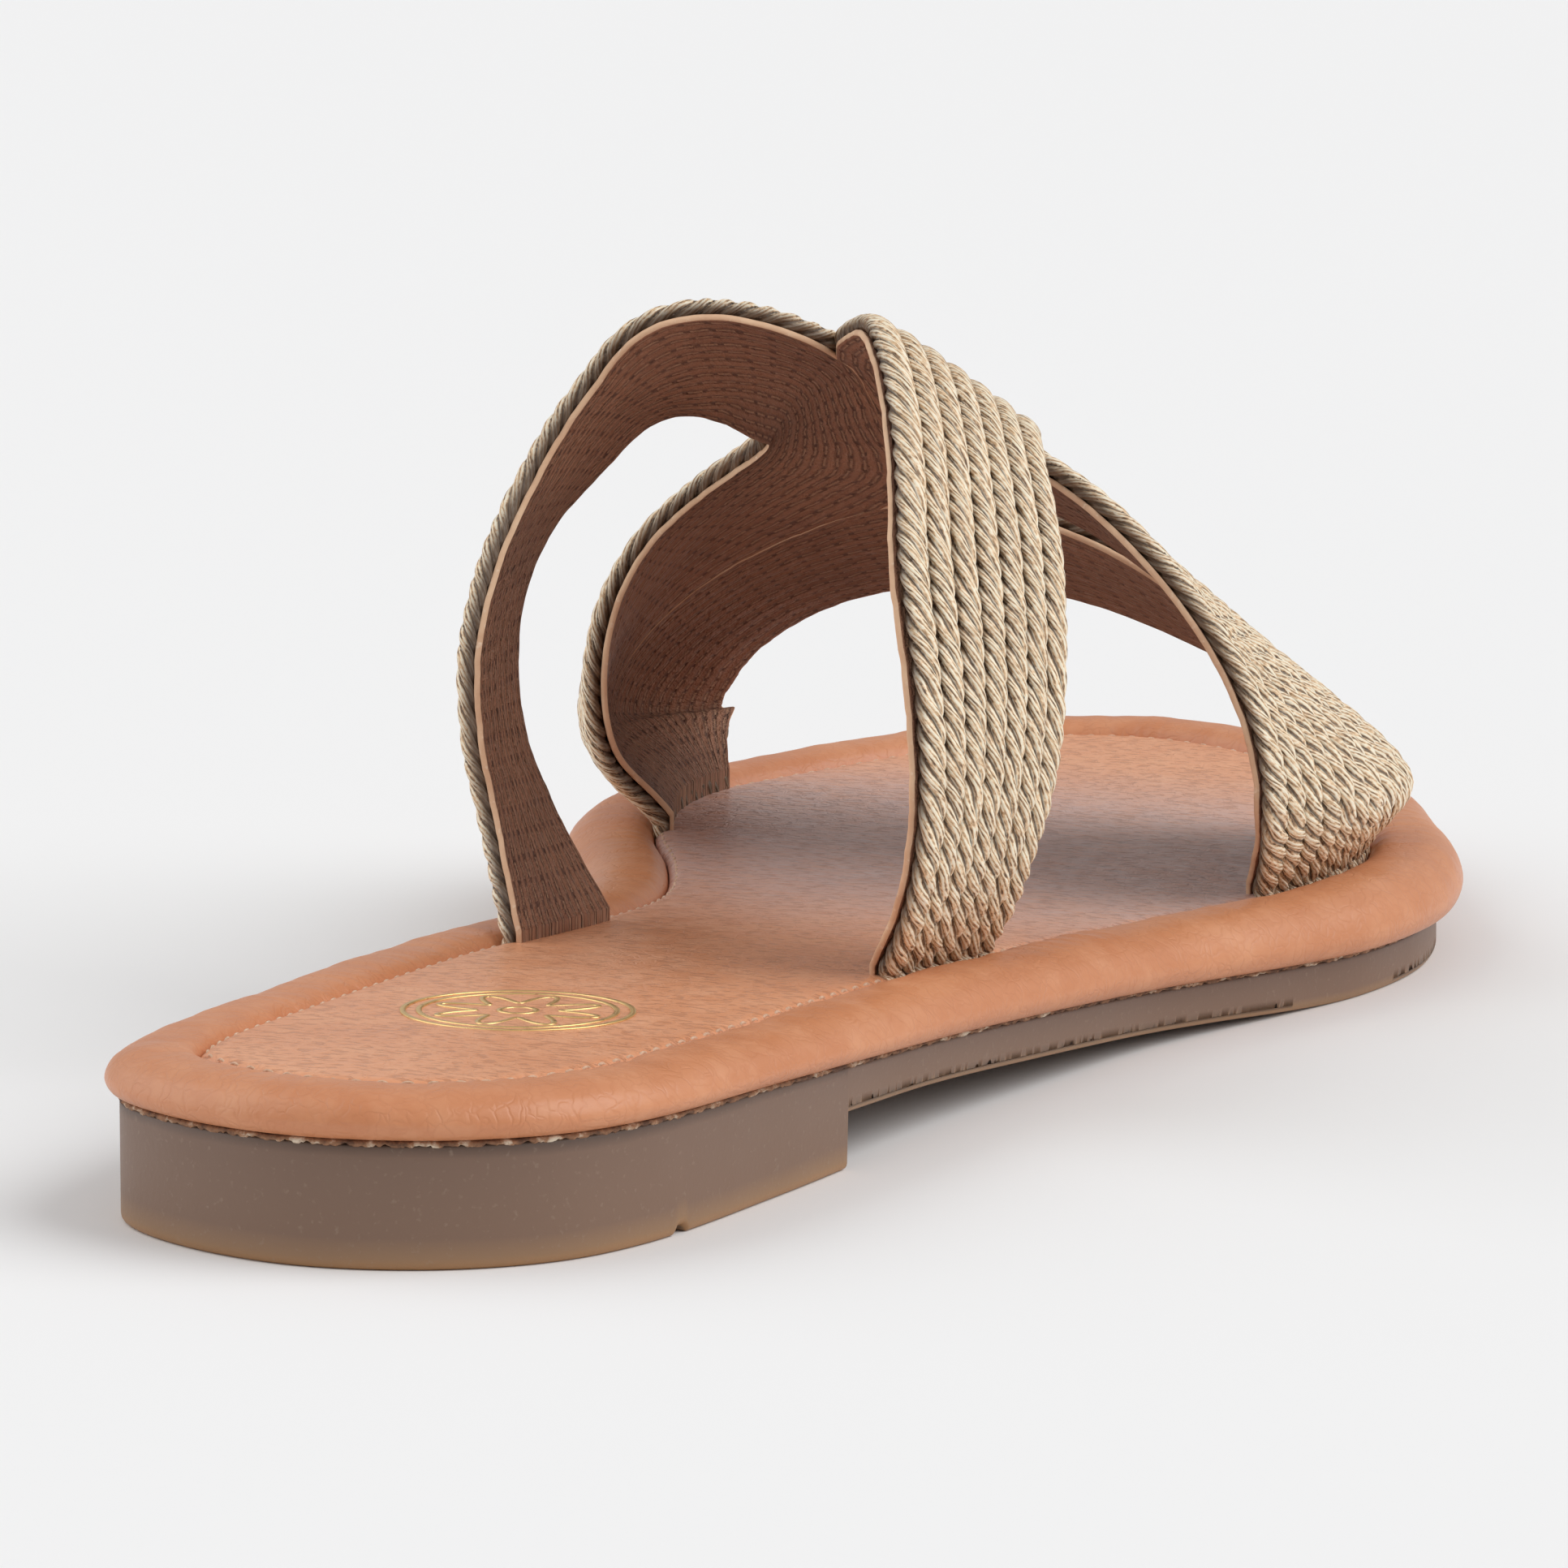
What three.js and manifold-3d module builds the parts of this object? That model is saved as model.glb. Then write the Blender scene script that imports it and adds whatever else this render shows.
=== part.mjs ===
// Corded slide sandal, right shoe: moulded outsole, padded footbed rim, insole and a strap upper.
// Millimetres, +X to the toe, +Y to the medial (inner) side, +Z up, origin under the middle of the shoe.
import * as THREE from 'three';
import { mergeVertices } from 'three/addons/utils/BufferGeometryUtils.js';
import Module from 'manifold-3d';

const wasm = await Module();
wasm.setup();

// Driving sizes of the sole
const LENGTH = 244;          // outsole wall, heel to toe
const BALL_WIDTH = 96;       // outsole wall across the ball of the foot
const HEEL_HEIGHT = 12;      // outsole at the back of the heel
const BREAST = 58;           // back of the heel to the heel block's front face
const GROOVE_FROM_HEEL = 26; // back of the heel to the tread groove
const GROOVE_WIDTH = 2;
const GROOVE_DEPTH = 0.8;

// Driving sizes of the footbed
const RIM_OVERHANG = 2.8;    // padded rim beyond the outsole wall, at the forefoot
const SEAM_INSET = 7.4;      // outsole wall in to the seam between rim and insole
const SEAM_HEIGHT = 6;       // seam above the outsole, at the middle of the shoe
const RIM_CROWN = 1.4;       // crest of the rim above the seam
const CLEARANCE = 0.3;       // between neighbouring pieces
const SLOT_CLEARANCE = 0.4;  // round the strap feet

// Driving sizes of the straps
const INSTEP_HEIGHT = 64;    // strap surface above the seam at the instep
const STRAP_SPREAD = 15;     // how far the straps lean out beyond the seam
const CREST_SHIFT = 8;       // crest of the instep towards the medial side
const BACKING = 0.9;         // backing leather of the straps
const CORD_RELIEF = 2.1;     // cords standing on the backing
const CORDS = 7;             // cords side by side in each strap
const STRAP_LAP = 0.5;       // neighbouring straps lap by this much at each edge
const VALLEY_DEPTH = 0.7;    // valley between two cords, in CORD_RELIEF
const CORD_FLAT = 0.27;      // edge of a cord in to its crest, in the cord's width
const EDGE_SHARE = 0.25;     // half thickness of a strap's edge, in BACKING
const FOOT_DEPTH = 3.2;      // strap foot held below the seam
const WELD = 0.004;          // corners closer than this are one corner

// Outline of the outsole wall: along in LENGTH, lateral and medial in BALL_WIDTH
const PLAN = [
  { along: 0.012, lateral: 0.124, medial: 0.134 },
  { along: 0.041, lateral: 0.216, medial: 0.236 },
  { along: 0.082, lateral: 0.267, medial: 0.271 },
  { along: 0.184, lateral: 0.306, medial: 0.279 },
  { along: 0.328, lateral: 0.336, medial: 0.275 },
  { along: 0.430, lateral: 0.366, medial: 0.259 },
  { along: 0.512, lateral: 0.399, medial: 0.272 },
  { along: 0.594, lateral: 0.461, medial: 0.350 },
  { along: 0.656, lateral: 0.504, medial: 0.434 },
  { along: 0.717, lateral: 0.511, medial: 0.487 },
  { along: 0.779, lateral: 0.476, medial: 0.494 },
  { along: 0.840, lateral: 0.401, medial: 0.446 },
  { along: 0.902, lateral: 0.312, medial: 0.366 },
  { along: 0.951, lateral: 0.212, medial: 0.287 },
  { along: 0.985, lateral: 0.094, medial: 0.204 },
];
const TOE_TIP = 0.060;       // sideways place of the toe's tip, in BALL_WIDTH
const PLAN_STEPS = 76;       // facets round the outline

// Side profile of the outsole: along in LENGTH, top and bottom in HEEL_HEIGHT
const PROFILE = [
  { along: -0.03, top: 0.985, bottom: 0.50 },
  { along: 0.150, top: 0.910, bottom: 0.49 },
  { along: 0.290, top: 0.780, bottom: 0.42 },
  { along: 0.420, top: 0.625, bottom: 0.26 },
  { along: 0.550, top: 0.460, bottom: 0.09 },
  { along: 0.640, top: 0.395, bottom: 0.00 },
  { along: 0.830, top: 0.375, bottom: 0.00 },
  { along: 0.920, top: 0.425, bottom: 0.06 },
  { along: 1.030, top: 0.470, bottom: 0.13 },
];
const FLAT_START = 0.640;    // forefoot flat on the floor, in LENGTH
const FLAT_END = 0.830;
const PROFILE_STEPS = 22;

// Seam and rim round the footbed: along in LENGTH, height in SEAM_HEIGHT, crown in RIM_CROWN,
// overhang in RIM_OVERHANG
const SEAM = [
  { along: 0.00, height: 0.76, crown: 0.30, overhang: 0.45 },
  { along: 0.15, height: 0.72, crown: 0.40, overhang: 0.55 },
  { along: 0.32, height: 0.84, crown: 0.50, overhang: 0.80 },
  { along: 0.50, height: 0.92, crown: 0.70, overhang: 1.00 },
  { along: 0.72, height: 1.08, crown: 0.80, overhang: 1.00 },
  { along: 1.00, height: 1.20, crown: 0.80, overhang: 1.00 },
];

// Section of the padded rim: out from seam (0) to overhang (1), up from outsole (0) to seam height (1),
// and the share of the crown added there
const RIM_SECTION = [
  { out: 0.00, up: 0.00, crown: 0.0 },
  { out: 0.68, up: 0.00, crown: 0.0 },
  { out: 0.90, up: 0.08, crown: 0.0 },
  { out: 1.00, up: 0.34, crown: 0.0 },
  { out: 0.97, up: 0.60, crown: 0.2 },
  { out: 0.85, up: 0.82, crown: 0.6 },
  { out: 0.60, up: 0.97, crown: 1.0 },
  { out: 0.26, up: 1.00, crown: 0.9 },
  { out: 0.00, up: 0.93, crown: 0.0 },
];

// Form of the foot under the straps: along in LENGTH, height in INSTEP_HEIGHT,
// lean to each side in STRAP_SPREAD, crest in CREST_SHIFT, and how softly the sides turn up in SOFTNESS
const INSTEP = [
  { along: 0.16, height: 1.00, lateral: 0.70, medial: 0.47, crest: 0.75, soft: 1.00 },
  { along: 0.31, height: 1.00, lateral: 0.85, medial: 0.68, crest: 0.90, soft: 1.00 },
  { along: 0.43, height: 1.055, lateral: 0.98, medial: 0.86, crest: 1.00, soft: 1.00 },
  { along: 0.55, height: 0.917, lateral: 0.96, medial: 0.95, crest: 0.92, soft: 1.10 },
  { along: 0.64, height: 0.71, lateral: 0.88, medial: 0.98, crest: 0.83, soft: 1.28 },
  { along: 0.72, height: 0.52, lateral: 0.86, medial: 0.96, crest: 0.74, soft: 1.30 },
  { along: 0.80, height: 0.38, lateral: 0.80, medial: 0.82, crest: 0.65, soft: 1.25 },
  { along: 0.92, height: 0.30, lateral: 0.53, medial: 0.53, crest: 0.50, soft: 1.10 },
];
const SOFTNESS = 1.7;        // 1 turns up squarely from the seam, 2 in a slow curve
const SEAM_LIFT = 3.2;       // extra rise where the straps leave the seam
const LIFT_TURN = 0.22;      // turn from the seam at which that rise is greatest
const SEAM_MARGIN = 0.07;    // nearer to a seam than this, the straps face as they do there
const ROUND_STEP = 0.01;     // share of the round that an outward direction is taken over

// Straps as sections from one foot to the other. Each row crosses the strap from its near edge to its
// far edge: along in LENGTH, round from the lateral seam (0) over the instep to the medial seam (1).
const LATERAL_STRAP = [
  { nearAlong: 0.428, nearRound: 0.000, farAlong: 0.340, farRound: 0.000 },
  { nearAlong: 0.415, nearRound: 0.090, farAlong: 0.324, farRound: 0.090 },
  { nearAlong: 0.421, nearRound: 0.140, farAlong: 0.322, farRound: 0.150 },
  { nearAlong: 0.440, nearRound: 0.210, farAlong: 0.327, farRound: 0.210 },
  { nearAlong: 0.469, nearRound: 0.270, farAlong: 0.343, farRound: 0.270 },
  { nearAlong: 0.500, nearRound: 0.320, farAlong: 0.380, farRound: 0.325 },
  { nearAlong: 0.540, nearRound: 0.362, farAlong: 0.430, farRound: 0.385 },
  { nearAlong: 0.582, nearRound: 0.396, farAlong: 0.490, farRound: 0.445 },
  { nearAlong: 0.600, nearRound: 0.410, farAlong: 0.545, farRound: 0.496 },
  { nearAlong: 0.604, nearRound: 0.404, farAlong: 0.605, farRound: 0.500 },
  { nearAlong: 0.603, nearRound: 0.388, farAlong: 0.655, farRound: 0.500 },
  { nearAlong: 0.601, nearRound: 0.365, farAlong: 0.652, farRound: 0.445 },
  { nearAlong: 0.601, nearRound: 0.325, farAlong: 0.646, farRound: 0.382 },
  { nearAlong: 0.600, nearRound: 0.265, farAlong: 0.661, farRound: 0.310 },
  { nearAlong: 0.597, nearRound: 0.210, farAlong: 0.677, farRound: 0.225 },
  { nearAlong: 0.595, nearRound: 0.150, farAlong: 0.686, farRound: 0.155 },
  { nearAlong: 0.600, nearRound: 0.090, farAlong: 0.691, farRound: 0.090 },
  { nearAlong: 0.628, nearRound: 0.000, farAlong: 0.700, farRound: 0.000 },
];
const MEDIAL_STRAP = [
  { nearAlong: 0.430, nearRound: 1.000, farAlong: 0.352, farRound: 1.000 },
  { nearAlong: 0.432, nearRound: 0.910, farAlong: 0.380, farRound: 0.910 },
  { nearAlong: 0.428, nearRound: 0.850, farAlong: 0.387, farRound: 0.850 },
  { nearAlong: 0.438, nearRound: 0.787, farAlong: 0.395, farRound: 0.800 },
  { nearAlong: 0.461, nearRound: 0.745, farAlong: 0.414, farRound: 0.757 },
  { nearAlong: 0.500, nearRound: 0.694, farAlong: 0.442, farRound: 0.708 },
  { nearAlong: 0.531, nearRound: 0.632, farAlong: 0.460, farRound: 0.650 },
  { nearAlong: 0.570, nearRound: 0.602, farAlong: 0.463, farRound: 0.590 },
  { nearAlong: 0.598, nearRound: 0.583, farAlong: 0.491, farRound: 0.537 },
  { nearAlong: 0.606, nearRound: 0.576, farAlong: 0.541, farRound: 0.496 },
  { nearAlong: 0.611, nearRound: 0.584, farAlong: 0.605, farRound: 0.500 },
  { nearAlong: 0.614, nearRound: 0.608, farAlong: 0.655, farRound: 0.500 },
  { nearAlong: 0.612, nearRound: 0.645, farAlong: 0.684, farRound: 0.545 },
  { nearAlong: 0.604, nearRound: 0.695, farAlong: 0.698, farRound: 0.630 },
  { nearAlong: 0.599, nearRound: 0.755, farAlong: 0.705, farRound: 0.740 },
  { nearAlong: 0.606, nearRound: 0.820, farAlong: 0.719, farRound: 0.815 },
  { nearAlong: 0.632, nearRound: 0.900, farAlong: 0.731, farRound: 0.900 },
  { nearAlong: 0.674, nearRound: 1.000, farAlong: 0.739, farRound: 1.000 },
];
const TOE_STRAP = [
  { nearAlong: 0.733, nearRound: 1.000, farAlong: 0.785, farRound: 1.000 },
  { nearAlong: 0.715, nearRound: 0.900, farAlong: 0.818, farRound: 0.900 },
  { nearAlong: 0.703, nearRound: 0.820, farAlong: 0.813, farRound: 0.820 },
  { nearAlong: 0.697, nearRound: 0.745, farAlong: 0.807, farRound: 0.740 },
  { nearAlong: 0.694, nearRound: 0.665, farAlong: 0.788, farRound: 0.660 },
  { nearAlong: 0.689, nearRound: 0.590, farAlong: 0.767, farRound: 0.580 },
  { nearAlong: 0.676, nearRound: 0.512, farAlong: 0.757, farRound: 0.500 },
  { nearAlong: 0.671, nearRound: 0.430, farAlong: 0.755, farRound: 0.430 },
  { nearAlong: 0.665, nearRound: 0.370, farAlong: 0.766, farRound: 0.360 },
  { nearAlong: 0.661, nearRound: 0.300, farAlong: 0.780, farRound: 0.280 },
  { nearAlong: 0.671, nearRound: 0.225, farAlong: 0.785, farRound: 0.200 },
  { nearAlong: 0.680, nearRound: 0.155, farAlong: 0.783, farRound: 0.130 },
  { nearAlong: 0.685, nearRound: 0.090, farAlong: 0.778, farRound: 0.070 },
  { nearAlong: 0.694, nearRound: 0.000, farAlong: 0.774, farRound: 0.000 },
];
const STEPS_PER_SECTION = 2;
const SLOT_RINGS = 4;        // foot, seam and two steps above the seam

// Monotone cubic through one column of a table
function column(rows, key) {
  const xs = rows.map((row) => row.along);
  const ys = rows.map((row) => row[key]);
  const last = xs.length - 1;
  const slope = xs.slice(1).map((x, i) => (ys[i + 1] - ys[i]) / (x - xs[i]));
  const tangent = ys.map((y, i) => {
    if (i === 0) return slope[0];
    if (i === last) return slope[last - 1];
    const product = slope[i - 1] * slope[i];
    return product <= 0 ? 0 : (2 * product) / (slope[i - 1] + slope[i]);
  });
  return (x) => {
    const clamped = Math.min(Math.max(x, xs[0]), xs[last]);
    let i = 0;
    while (i < last - 1 && clamped > xs[i + 1]) i += 1;
    const width = xs[i + 1] - xs[i];
    const t = (clamped - xs[i]) / width;
    const rise = t * t * (3 - 2 * t);
    return ys[i] * (1 - rise) + ys[i + 1] * rise
      + width * t * (1 - t) * ((1 - t) * tangent[i] - t * tangent[i + 1]);
  };
}

const profileTop = column(PROFILE, 'top');
const profileBottom = column(PROFILE, 'bottom');
const seamShare = column(SEAM, 'height');
const crownShare = column(SEAM, 'crown');
const overhangShare = column(SEAM, 'overhang');

// Heights above the floor, x in millimetres from the back of the heel
const outsoleTop = (x) => HEEL_HEIGHT * profileTop(x / LENGTH);
const seamTop = (x) => outsoleTop(x) + SEAM_HEIGHT * seamShare(x / LENGTH);

// Outline of the outsole wall as points with outward normals
function planOutline() {
  const lateral = PLAN.map((row) => new THREE.Vector3(row.along * LENGTH, -row.lateral * BALL_WIDTH, 0));
  const medial = PLAN.map((row) => new THREE.Vector3(row.along * LENGTH, row.medial * BALL_WIDTH, 0));
  const heel = new THREE.Vector3(0, 0, 0);
  const toe = new THREE.Vector3(LENGTH, TOE_TIP * BALL_WIDTH, 0);
  const curve = new THREE.CatmullRomCurve3([heel, ...lateral, toe, ...medial.reverse()], true);
  const points = curve.getSpacedPoints(PLAN_STEPS).slice(0, -1);
  return points.map((point, i) => {
    const before = points[(i + PLAN_STEPS - 1) % PLAN_STEPS];
    const after = points[(i + 1) % PLAN_STEPS];
    const normal = new THREE.Vector2(after.y - before.y, before.x - after.x).normalize();
    return { x: point.x, y: point.y, normal };
  });
}
const OUTLINE = planOutline();

// The outline moved outwards by a distance
const offsetOutline = (distance) => OUTLINE.map(
  ({ x, y, normal }) => new THREE.Vector2(x + normal.x * distance, y + normal.y * distance),
);

// Closed geometry to solid and back
function toSolid(geometry) {
  const bare = geometry.index ? geometry.toNonIndexed() : geometry.clone();
  bare.deleteAttribute('normal');
  bare.deleteAttribute('uv');
  const merged = mergeVertices(bare, 1e-4);
  const mesh = new wasm.Mesh({
    numProp: 3,
    vertProperties: new Float32Array(merged.attributes.position.array),
    triVerts: new Uint32Array(merged.index.array),
  });
  return new wasm.Manifold(mesh);
}

function toGeometry(solid) {
  const mesh = solid.getMesh();
  const geometry = new THREE.BufferGeometry();
  geometry.setAttribute('position', new THREE.BufferAttribute(new Float32Array(mesh.vertProperties), 3));
  geometry.setIndex(new THREE.BufferAttribute(new Uint32Array(mesh.triVerts), 1));
  const merged = mergeVertices(geometry, WELD);
  const corners = Array.from(merged.index.array);
  const kept = [];
  for (let i = 0; i < corners.length; i += 3) {
    const [a, b, c] = corners.slice(i, i + 3);
    if (a !== b && b !== c && c !== a) kept.push(a, b, c);
  }
  merged.setIndex(kept);
  merged.computeVertexNormals();
  return merged;
}

// Skin over a grid of points, where each row is a closed ring
function ringSkin(rings, closed) {
  const positions = [];
  const across = rings[0].length;
  const push = (...points) => points.forEach((point) => positions.push(point.x, point.y, point.z));
  const rows = closed ? rings.length : rings.length - 1;
  for (let i = 0; i < rows; i += 1) {
    const ring = rings[i];
    const next = rings[(i + 1) % rings.length];
    for (let j = 0; j < across; j += 1) {
      const k = (j + 1) % across;
      push(ring[j], next[j], next[k]);
      push(ring[j], next[k], ring[k]);
    }
  }
  const geometry = new THREE.BufferGeometry();
  geometry.setAttribute('position', new THREE.BufferAttribute(new Float32Array(positions), 3));
  return geometry;
}

// Upright slab of a plan outline
function planSlab(points, bottom, top) {
  const geometry = new THREE.ExtrudeGeometry(new THREE.Shape(points), {
    depth: top - bottom,
    bevelEnabled: false,
    steps: 1,
  });
  geometry.translate(0, 0, bottom);
  return toSolid(geometry);
}

// Sheet of a side profile, carried right across the shoe
function profileSheet(points) {
  const geometry = new THREE.ExtrudeGeometry(new THREE.Shape(points), {
    depth: 2 * BALL_WIDTH,
    bevelEnabled: false,
    steps: 1,
  });
  geometry.rotateX(Math.PI / 2);
  geometry.translate(0, BALL_WIDTH, 0);
  return toSolid(geometry);
}

// Points of a height curve from one station to another, both in LENGTH
function heightCurve(height, from, to, steps) {
  return Array.from({ length: steps + 1 }, (_, i) => {
    const along = from + ((to - from) * i) / steps;
    return new THREE.Vector2(along * LENGTH, height(along * LENGTH));
  });
}

const PROFILE_START = PROFILE[0].along;
const PROFILE_END = PROFILE[PROFILE.length - 1].along;

// One moulded rubber unit: low heel block with an upright breast, thin waist, forefoot with toe spring
function makeOutsole() {
  const underside = (x) => HEEL_HEIGHT * profileBottom(x / LENGTH);
  const breast = BREAST / LENGTH;
  const top = heightCurve(outsoleTop, PROFILE_START, PROFILE_END, PROFILE_STEPS);
  const waist = heightCurve(underside, breast, FLAT_START, PROFILE_STEPS / 2);
  const spring = heightCurve(underside, FLAT_END, PROFILE_END, PROFILE_STEPS / 4);
  const heel = [new THREE.Vector2(PROFILE_START * LENGTH, 0), new THREE.Vector2(BREAST, 0)];
  const sheet = profileSheet([...heel, ...waist, ...spring, ...top.reverse()]);
  const slab = planSlab(offsetOutline(0), -HEEL_HEIGHT, 2 * HEEL_HEIGHT);
  const groove = new THREE.BoxGeometry(GROOVE_WIDTH, 2 * BALL_WIDTH, 2 * GROOVE_DEPTH);
  groove.translate(GROOVE_FROM_HEEL, 0, 0);
  return slab.intersect(sheet).subtract(toSolid(groove));
}

// Padded ring of leather that wraps the edge of the footbed
function makeRim() {
  const rings = OUTLINE.map(({ x, y, normal }) => {
    const reach = SEAM_INSET + RIM_OVERHANG * overhangShare(x / LENGTH);
    return RIM_SECTION.map(({ out, up, crown }) => {
      const distance = out * reach - SEAM_INSET;
      const px = x + normal.x * distance;
      const floor = outsoleTop(px) + CLEARANCE;
      const rise = up * (seamTop(px) - floor) + crown * RIM_CROWN * crownShare(px / LENGTH);
      return new THREE.Vector3(px, y + normal.y * distance, floor + rise);
    });
  });
  return toSolid(ringSkin(rings, true));
}

// Board and sock inside the seam
function makeInsole() {
  const top = heightCurve(seamTop, PROFILE_START, PROFILE_END, PROFILE_STEPS);
  const bottom = heightCurve((x) => outsoleTop(x) + CLEARANCE, PROFILE_START, PROFILE_END, PROFILE_STEPS);
  const sheet = profileSheet([...bottom, ...top.reverse()]);
  const slab = planSlab(offsetOutline(-SEAM_INSET - CLEARANCE), 0, 3 * HEEL_HEIGHT);
  return slab.intersect(sheet);
}

// Sideways place of the seam at x, on one side: -1 lateral, 1 medial
function seamSide(x, side) {
  const seam = offsetOutline(-SEAM_INSET);
  let best = 0;
  seam.forEach((point, i) => {
    const next = seam[(i + 1) % seam.length];
    if ((point.x - x) * (next.x - x) > 0 || point.x === next.x) return;
    const y = point.y + ((next.y - point.y) * (x - point.x)) / (next.x - point.x);
    if (y * side > best * side) best = y;
  });
  return best;
}

const instep = Object.fromEntries(
  ['height', 'lateral', 'medial', 'crest', 'soft'].map((key) => [key, column(INSTEP, key)]),
);

// Point on the form of the foot: round 0 is the lateral seam, 1 the medial seam
function instepPoint(x, round) {
  const along = x / LENGTH;
  const turn = Math.min(Math.max(round, 0), 1) * Math.PI;
  const lateral = seamSide(x, -1);
  const medial = seamSide(x, 1);
  const lean = STRAP_SPREAD * (turn < Math.PI / 2 ? instep.lateral(along) : instep.medial(along));
  const crest = CREST_SHIFT * instep.crest(along) * Math.sin(turn) ** 2;
  const base = (lateral * (1 + Math.cos(turn)) + medial * (1 - Math.cos(turn))) / 2;
  const y = base + crest - lean * Math.sin(2 * turn);
  const sine = Math.max(Math.sin(turn), 0);
  const rise = sine ** (SOFTNESS * (1 + (instep.soft(along) - 1) * sine));
  const fromSeam = Math.min(turn, Math.PI - turn) / LIFT_TURN;
  const lift = SEAM_LIFT * fromSeam * Math.exp(1 - fromSeam);
  return new THREE.Vector3(x, y, seamTop(x) + INSTEP_HEIGHT * instep.height(along) * rise + lift);
}

// Outward direction of the form of the foot
function instepNormal(x, round) {
  const held = Math.min(Math.max(round, SEAM_MARGIN), 1 - SEAM_MARGIN);
  const alongStep = instepPoint(x + 1, held).sub(instepPoint(x - 1, held));
  const roundStep = instepPoint(x, held + ROUND_STEP).sub(instepPoint(x, held - ROUND_STEP));
  return alongStep.cross(roundStep).normalize();
}

// Interpolates the sections of a strap; the feet run on straight down below the seam
function strapSections(rows) {
  const edge = (alongKey, roundKey) => {
    const points = rows.map((row) => new THREE.Vector3(row[alongKey] * LENGTH, row[roundKey] * LENGTH, 0));
    return new THREE.CatmullRomCurve3(points);
  };
  const near = edge('nearAlong', 'nearRound');
  const far = edge('farAlong', 'farRound');
  const steps = (rows.length - 1) * STEPS_PER_SECTION;
  const sections = Array.from({ length: steps + 1 }, (_, i) => {
    const [a, b] = [near.getPoint(i / steps), far.getPoint(i / steps)];
    return { near: [a.x, a.y / LENGTH], far: [b.x, b.y / LENGTH], drop: 0 };
  });
  const first = { ...sections[0], drop: 1 };
  const last = { ...sections[steps], drop: 1 };
  return [first, ...sections, last];
}

// Section across a strap: share from the near to the far edge, and millimetres out from the crests of
// its cords. The cords stand on the outside in a row, and both faces draw in at the edges.
function cordedSection() {
  const middle = -CORD_RELIEF - BACKING / 2;
  const outside = [{ share: 0, out: middle + BACKING * EDGE_SHARE }];
  for (let cord = 0; cord < CORDS; cord += 1) {
    const [start, end] = [cord + CORD_FLAT, cord + 1 - CORD_FLAT];
    outside.push({ share: start / CORDS, out: 0 }, { share: end / CORDS, out: 0 });
    if (cord < CORDS - 1) outside.push({ share: (cord + 1) / CORDS, out: -CORD_RELIEF * VALLEY_DEPTH });
  }
  outside.push({ share: 1, out: middle + BACKING * EDGE_SHARE });
  const inside = Array.from({ length: CORDS + 1 }, (_, i) => ({
    share: 1 - i / CORDS,
    out: middle - BACKING * (i === 0 || i === CORDS ? EDGE_SHARE : 0.5),
  }));
  return [...outside, ...inside];
}

// The same section without its cords and a little larger all round
function slotSection() {
  const shares = Array.from({ length: CORDS + 1 }, (_, i) => i / CORDS);
  const outside = shares.map((share) => ({ share, out: SLOT_CLEARANCE }));
  const inside = shares.map((share) => ({ share: 1 - share, out: -CORD_RELIEF - BACKING - SLOT_CLEARANCE }));
  return [...outside, ...inside];
}

// Section rings of a strap or its slot; extra is how much further they reach at the edges and feet
function strapRings(rows, profile, extra) {
  return strapSections(rows).map(({ near, far, drop }) => {
    const nearPoint = instepPoint(...near);
    const farPoint = instepPoint(...far);
    const lap = (STRAP_LAP + extra) / nearPoint.distanceTo(farPoint);
    return profile.map(({ share, out }) => {
      const across = share * (1 + 2 * lap) - lap;
      const x = near[0] + (far[0] - near[0]) * across;
      const round = near[1] + (far[1] - near[1]) * across;
      const point = instepPoint(x, round).addScaledVector(instepNormal(x, round), out);
      point.z -= drop * (FOOT_DEPTH + 2 * extra);
      return point;
    });
  });
}

// Ring skin with its two end rings closed by strips between their two faces
function capped(rings) {
  const skin = ringSkin(rings, false);
  const positions = Array.from(skin.attributes.position.array);
  const close = (ring, flip) => {
    THREE.ShapeUtils.triangulateShape(ringPlane(ring), []).forEach(([a, b, c]) => {
      const order = flip ? [a, c, b] : [a, b, c];
      order.forEach((i) => positions.push(...ring[i].toArray()));
    });
  };
  close(rings[0], false);
  close(rings[rings.length - 1], true);
  const geometry = new THREE.BufferGeometry();
  geometry.setAttribute('position', new THREE.BufferAttribute(new Float32Array(positions), 3));
  return geometry;
}

// Ring seen flat along its own normal, turning the way ShapeUtils expects
function ringPlane(ring) {
  const side = ring[0].clone().sub(ring[Math.floor(ring.length / 2)]).normalize();
  const normal = new THREE.Vector3();
  ring.forEach((point, i) => normal.add(point.clone().cross(ring[(i + 1) % ring.length])));
  normal.normalize();
  const up = normal.clone().cross(side).normalize();
  return ring.map((point) => new THREE.Vector2(point.dot(side), point.dot(up)));
}

// Each strap runs with its near edge on the same hand, so that its faces point out
const STRAPS = [LATERAL_STRAP, MEDIAL_STRAP.toReversed(), TOE_STRAP];

// The straps are one wall, joined where they meet
const makeUpper = () => STRAPS.map((rows) => toSolid(capped(strapRings(rows, cordedSection(), 0))))
  .reduce((whole, strap) => whole.add(strap));

// Slots that hold the strap feet between rim and insole, each round the lowest rings of its strap
const makeSlots = () => STRAPS.flatMap((rows) => {
  const rings = strapRings(rows, slotSection(), SLOT_CLEARANCE);
  return [rings.slice(0, SLOT_RINGS), rings.slice(-SLOT_RINGS)];
}).map((rings) => wasm.Manifold.hull(rings.flat().map((point) => point.toArray())))
  .reduce((whole, slot) => whole.add(slot));

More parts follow.
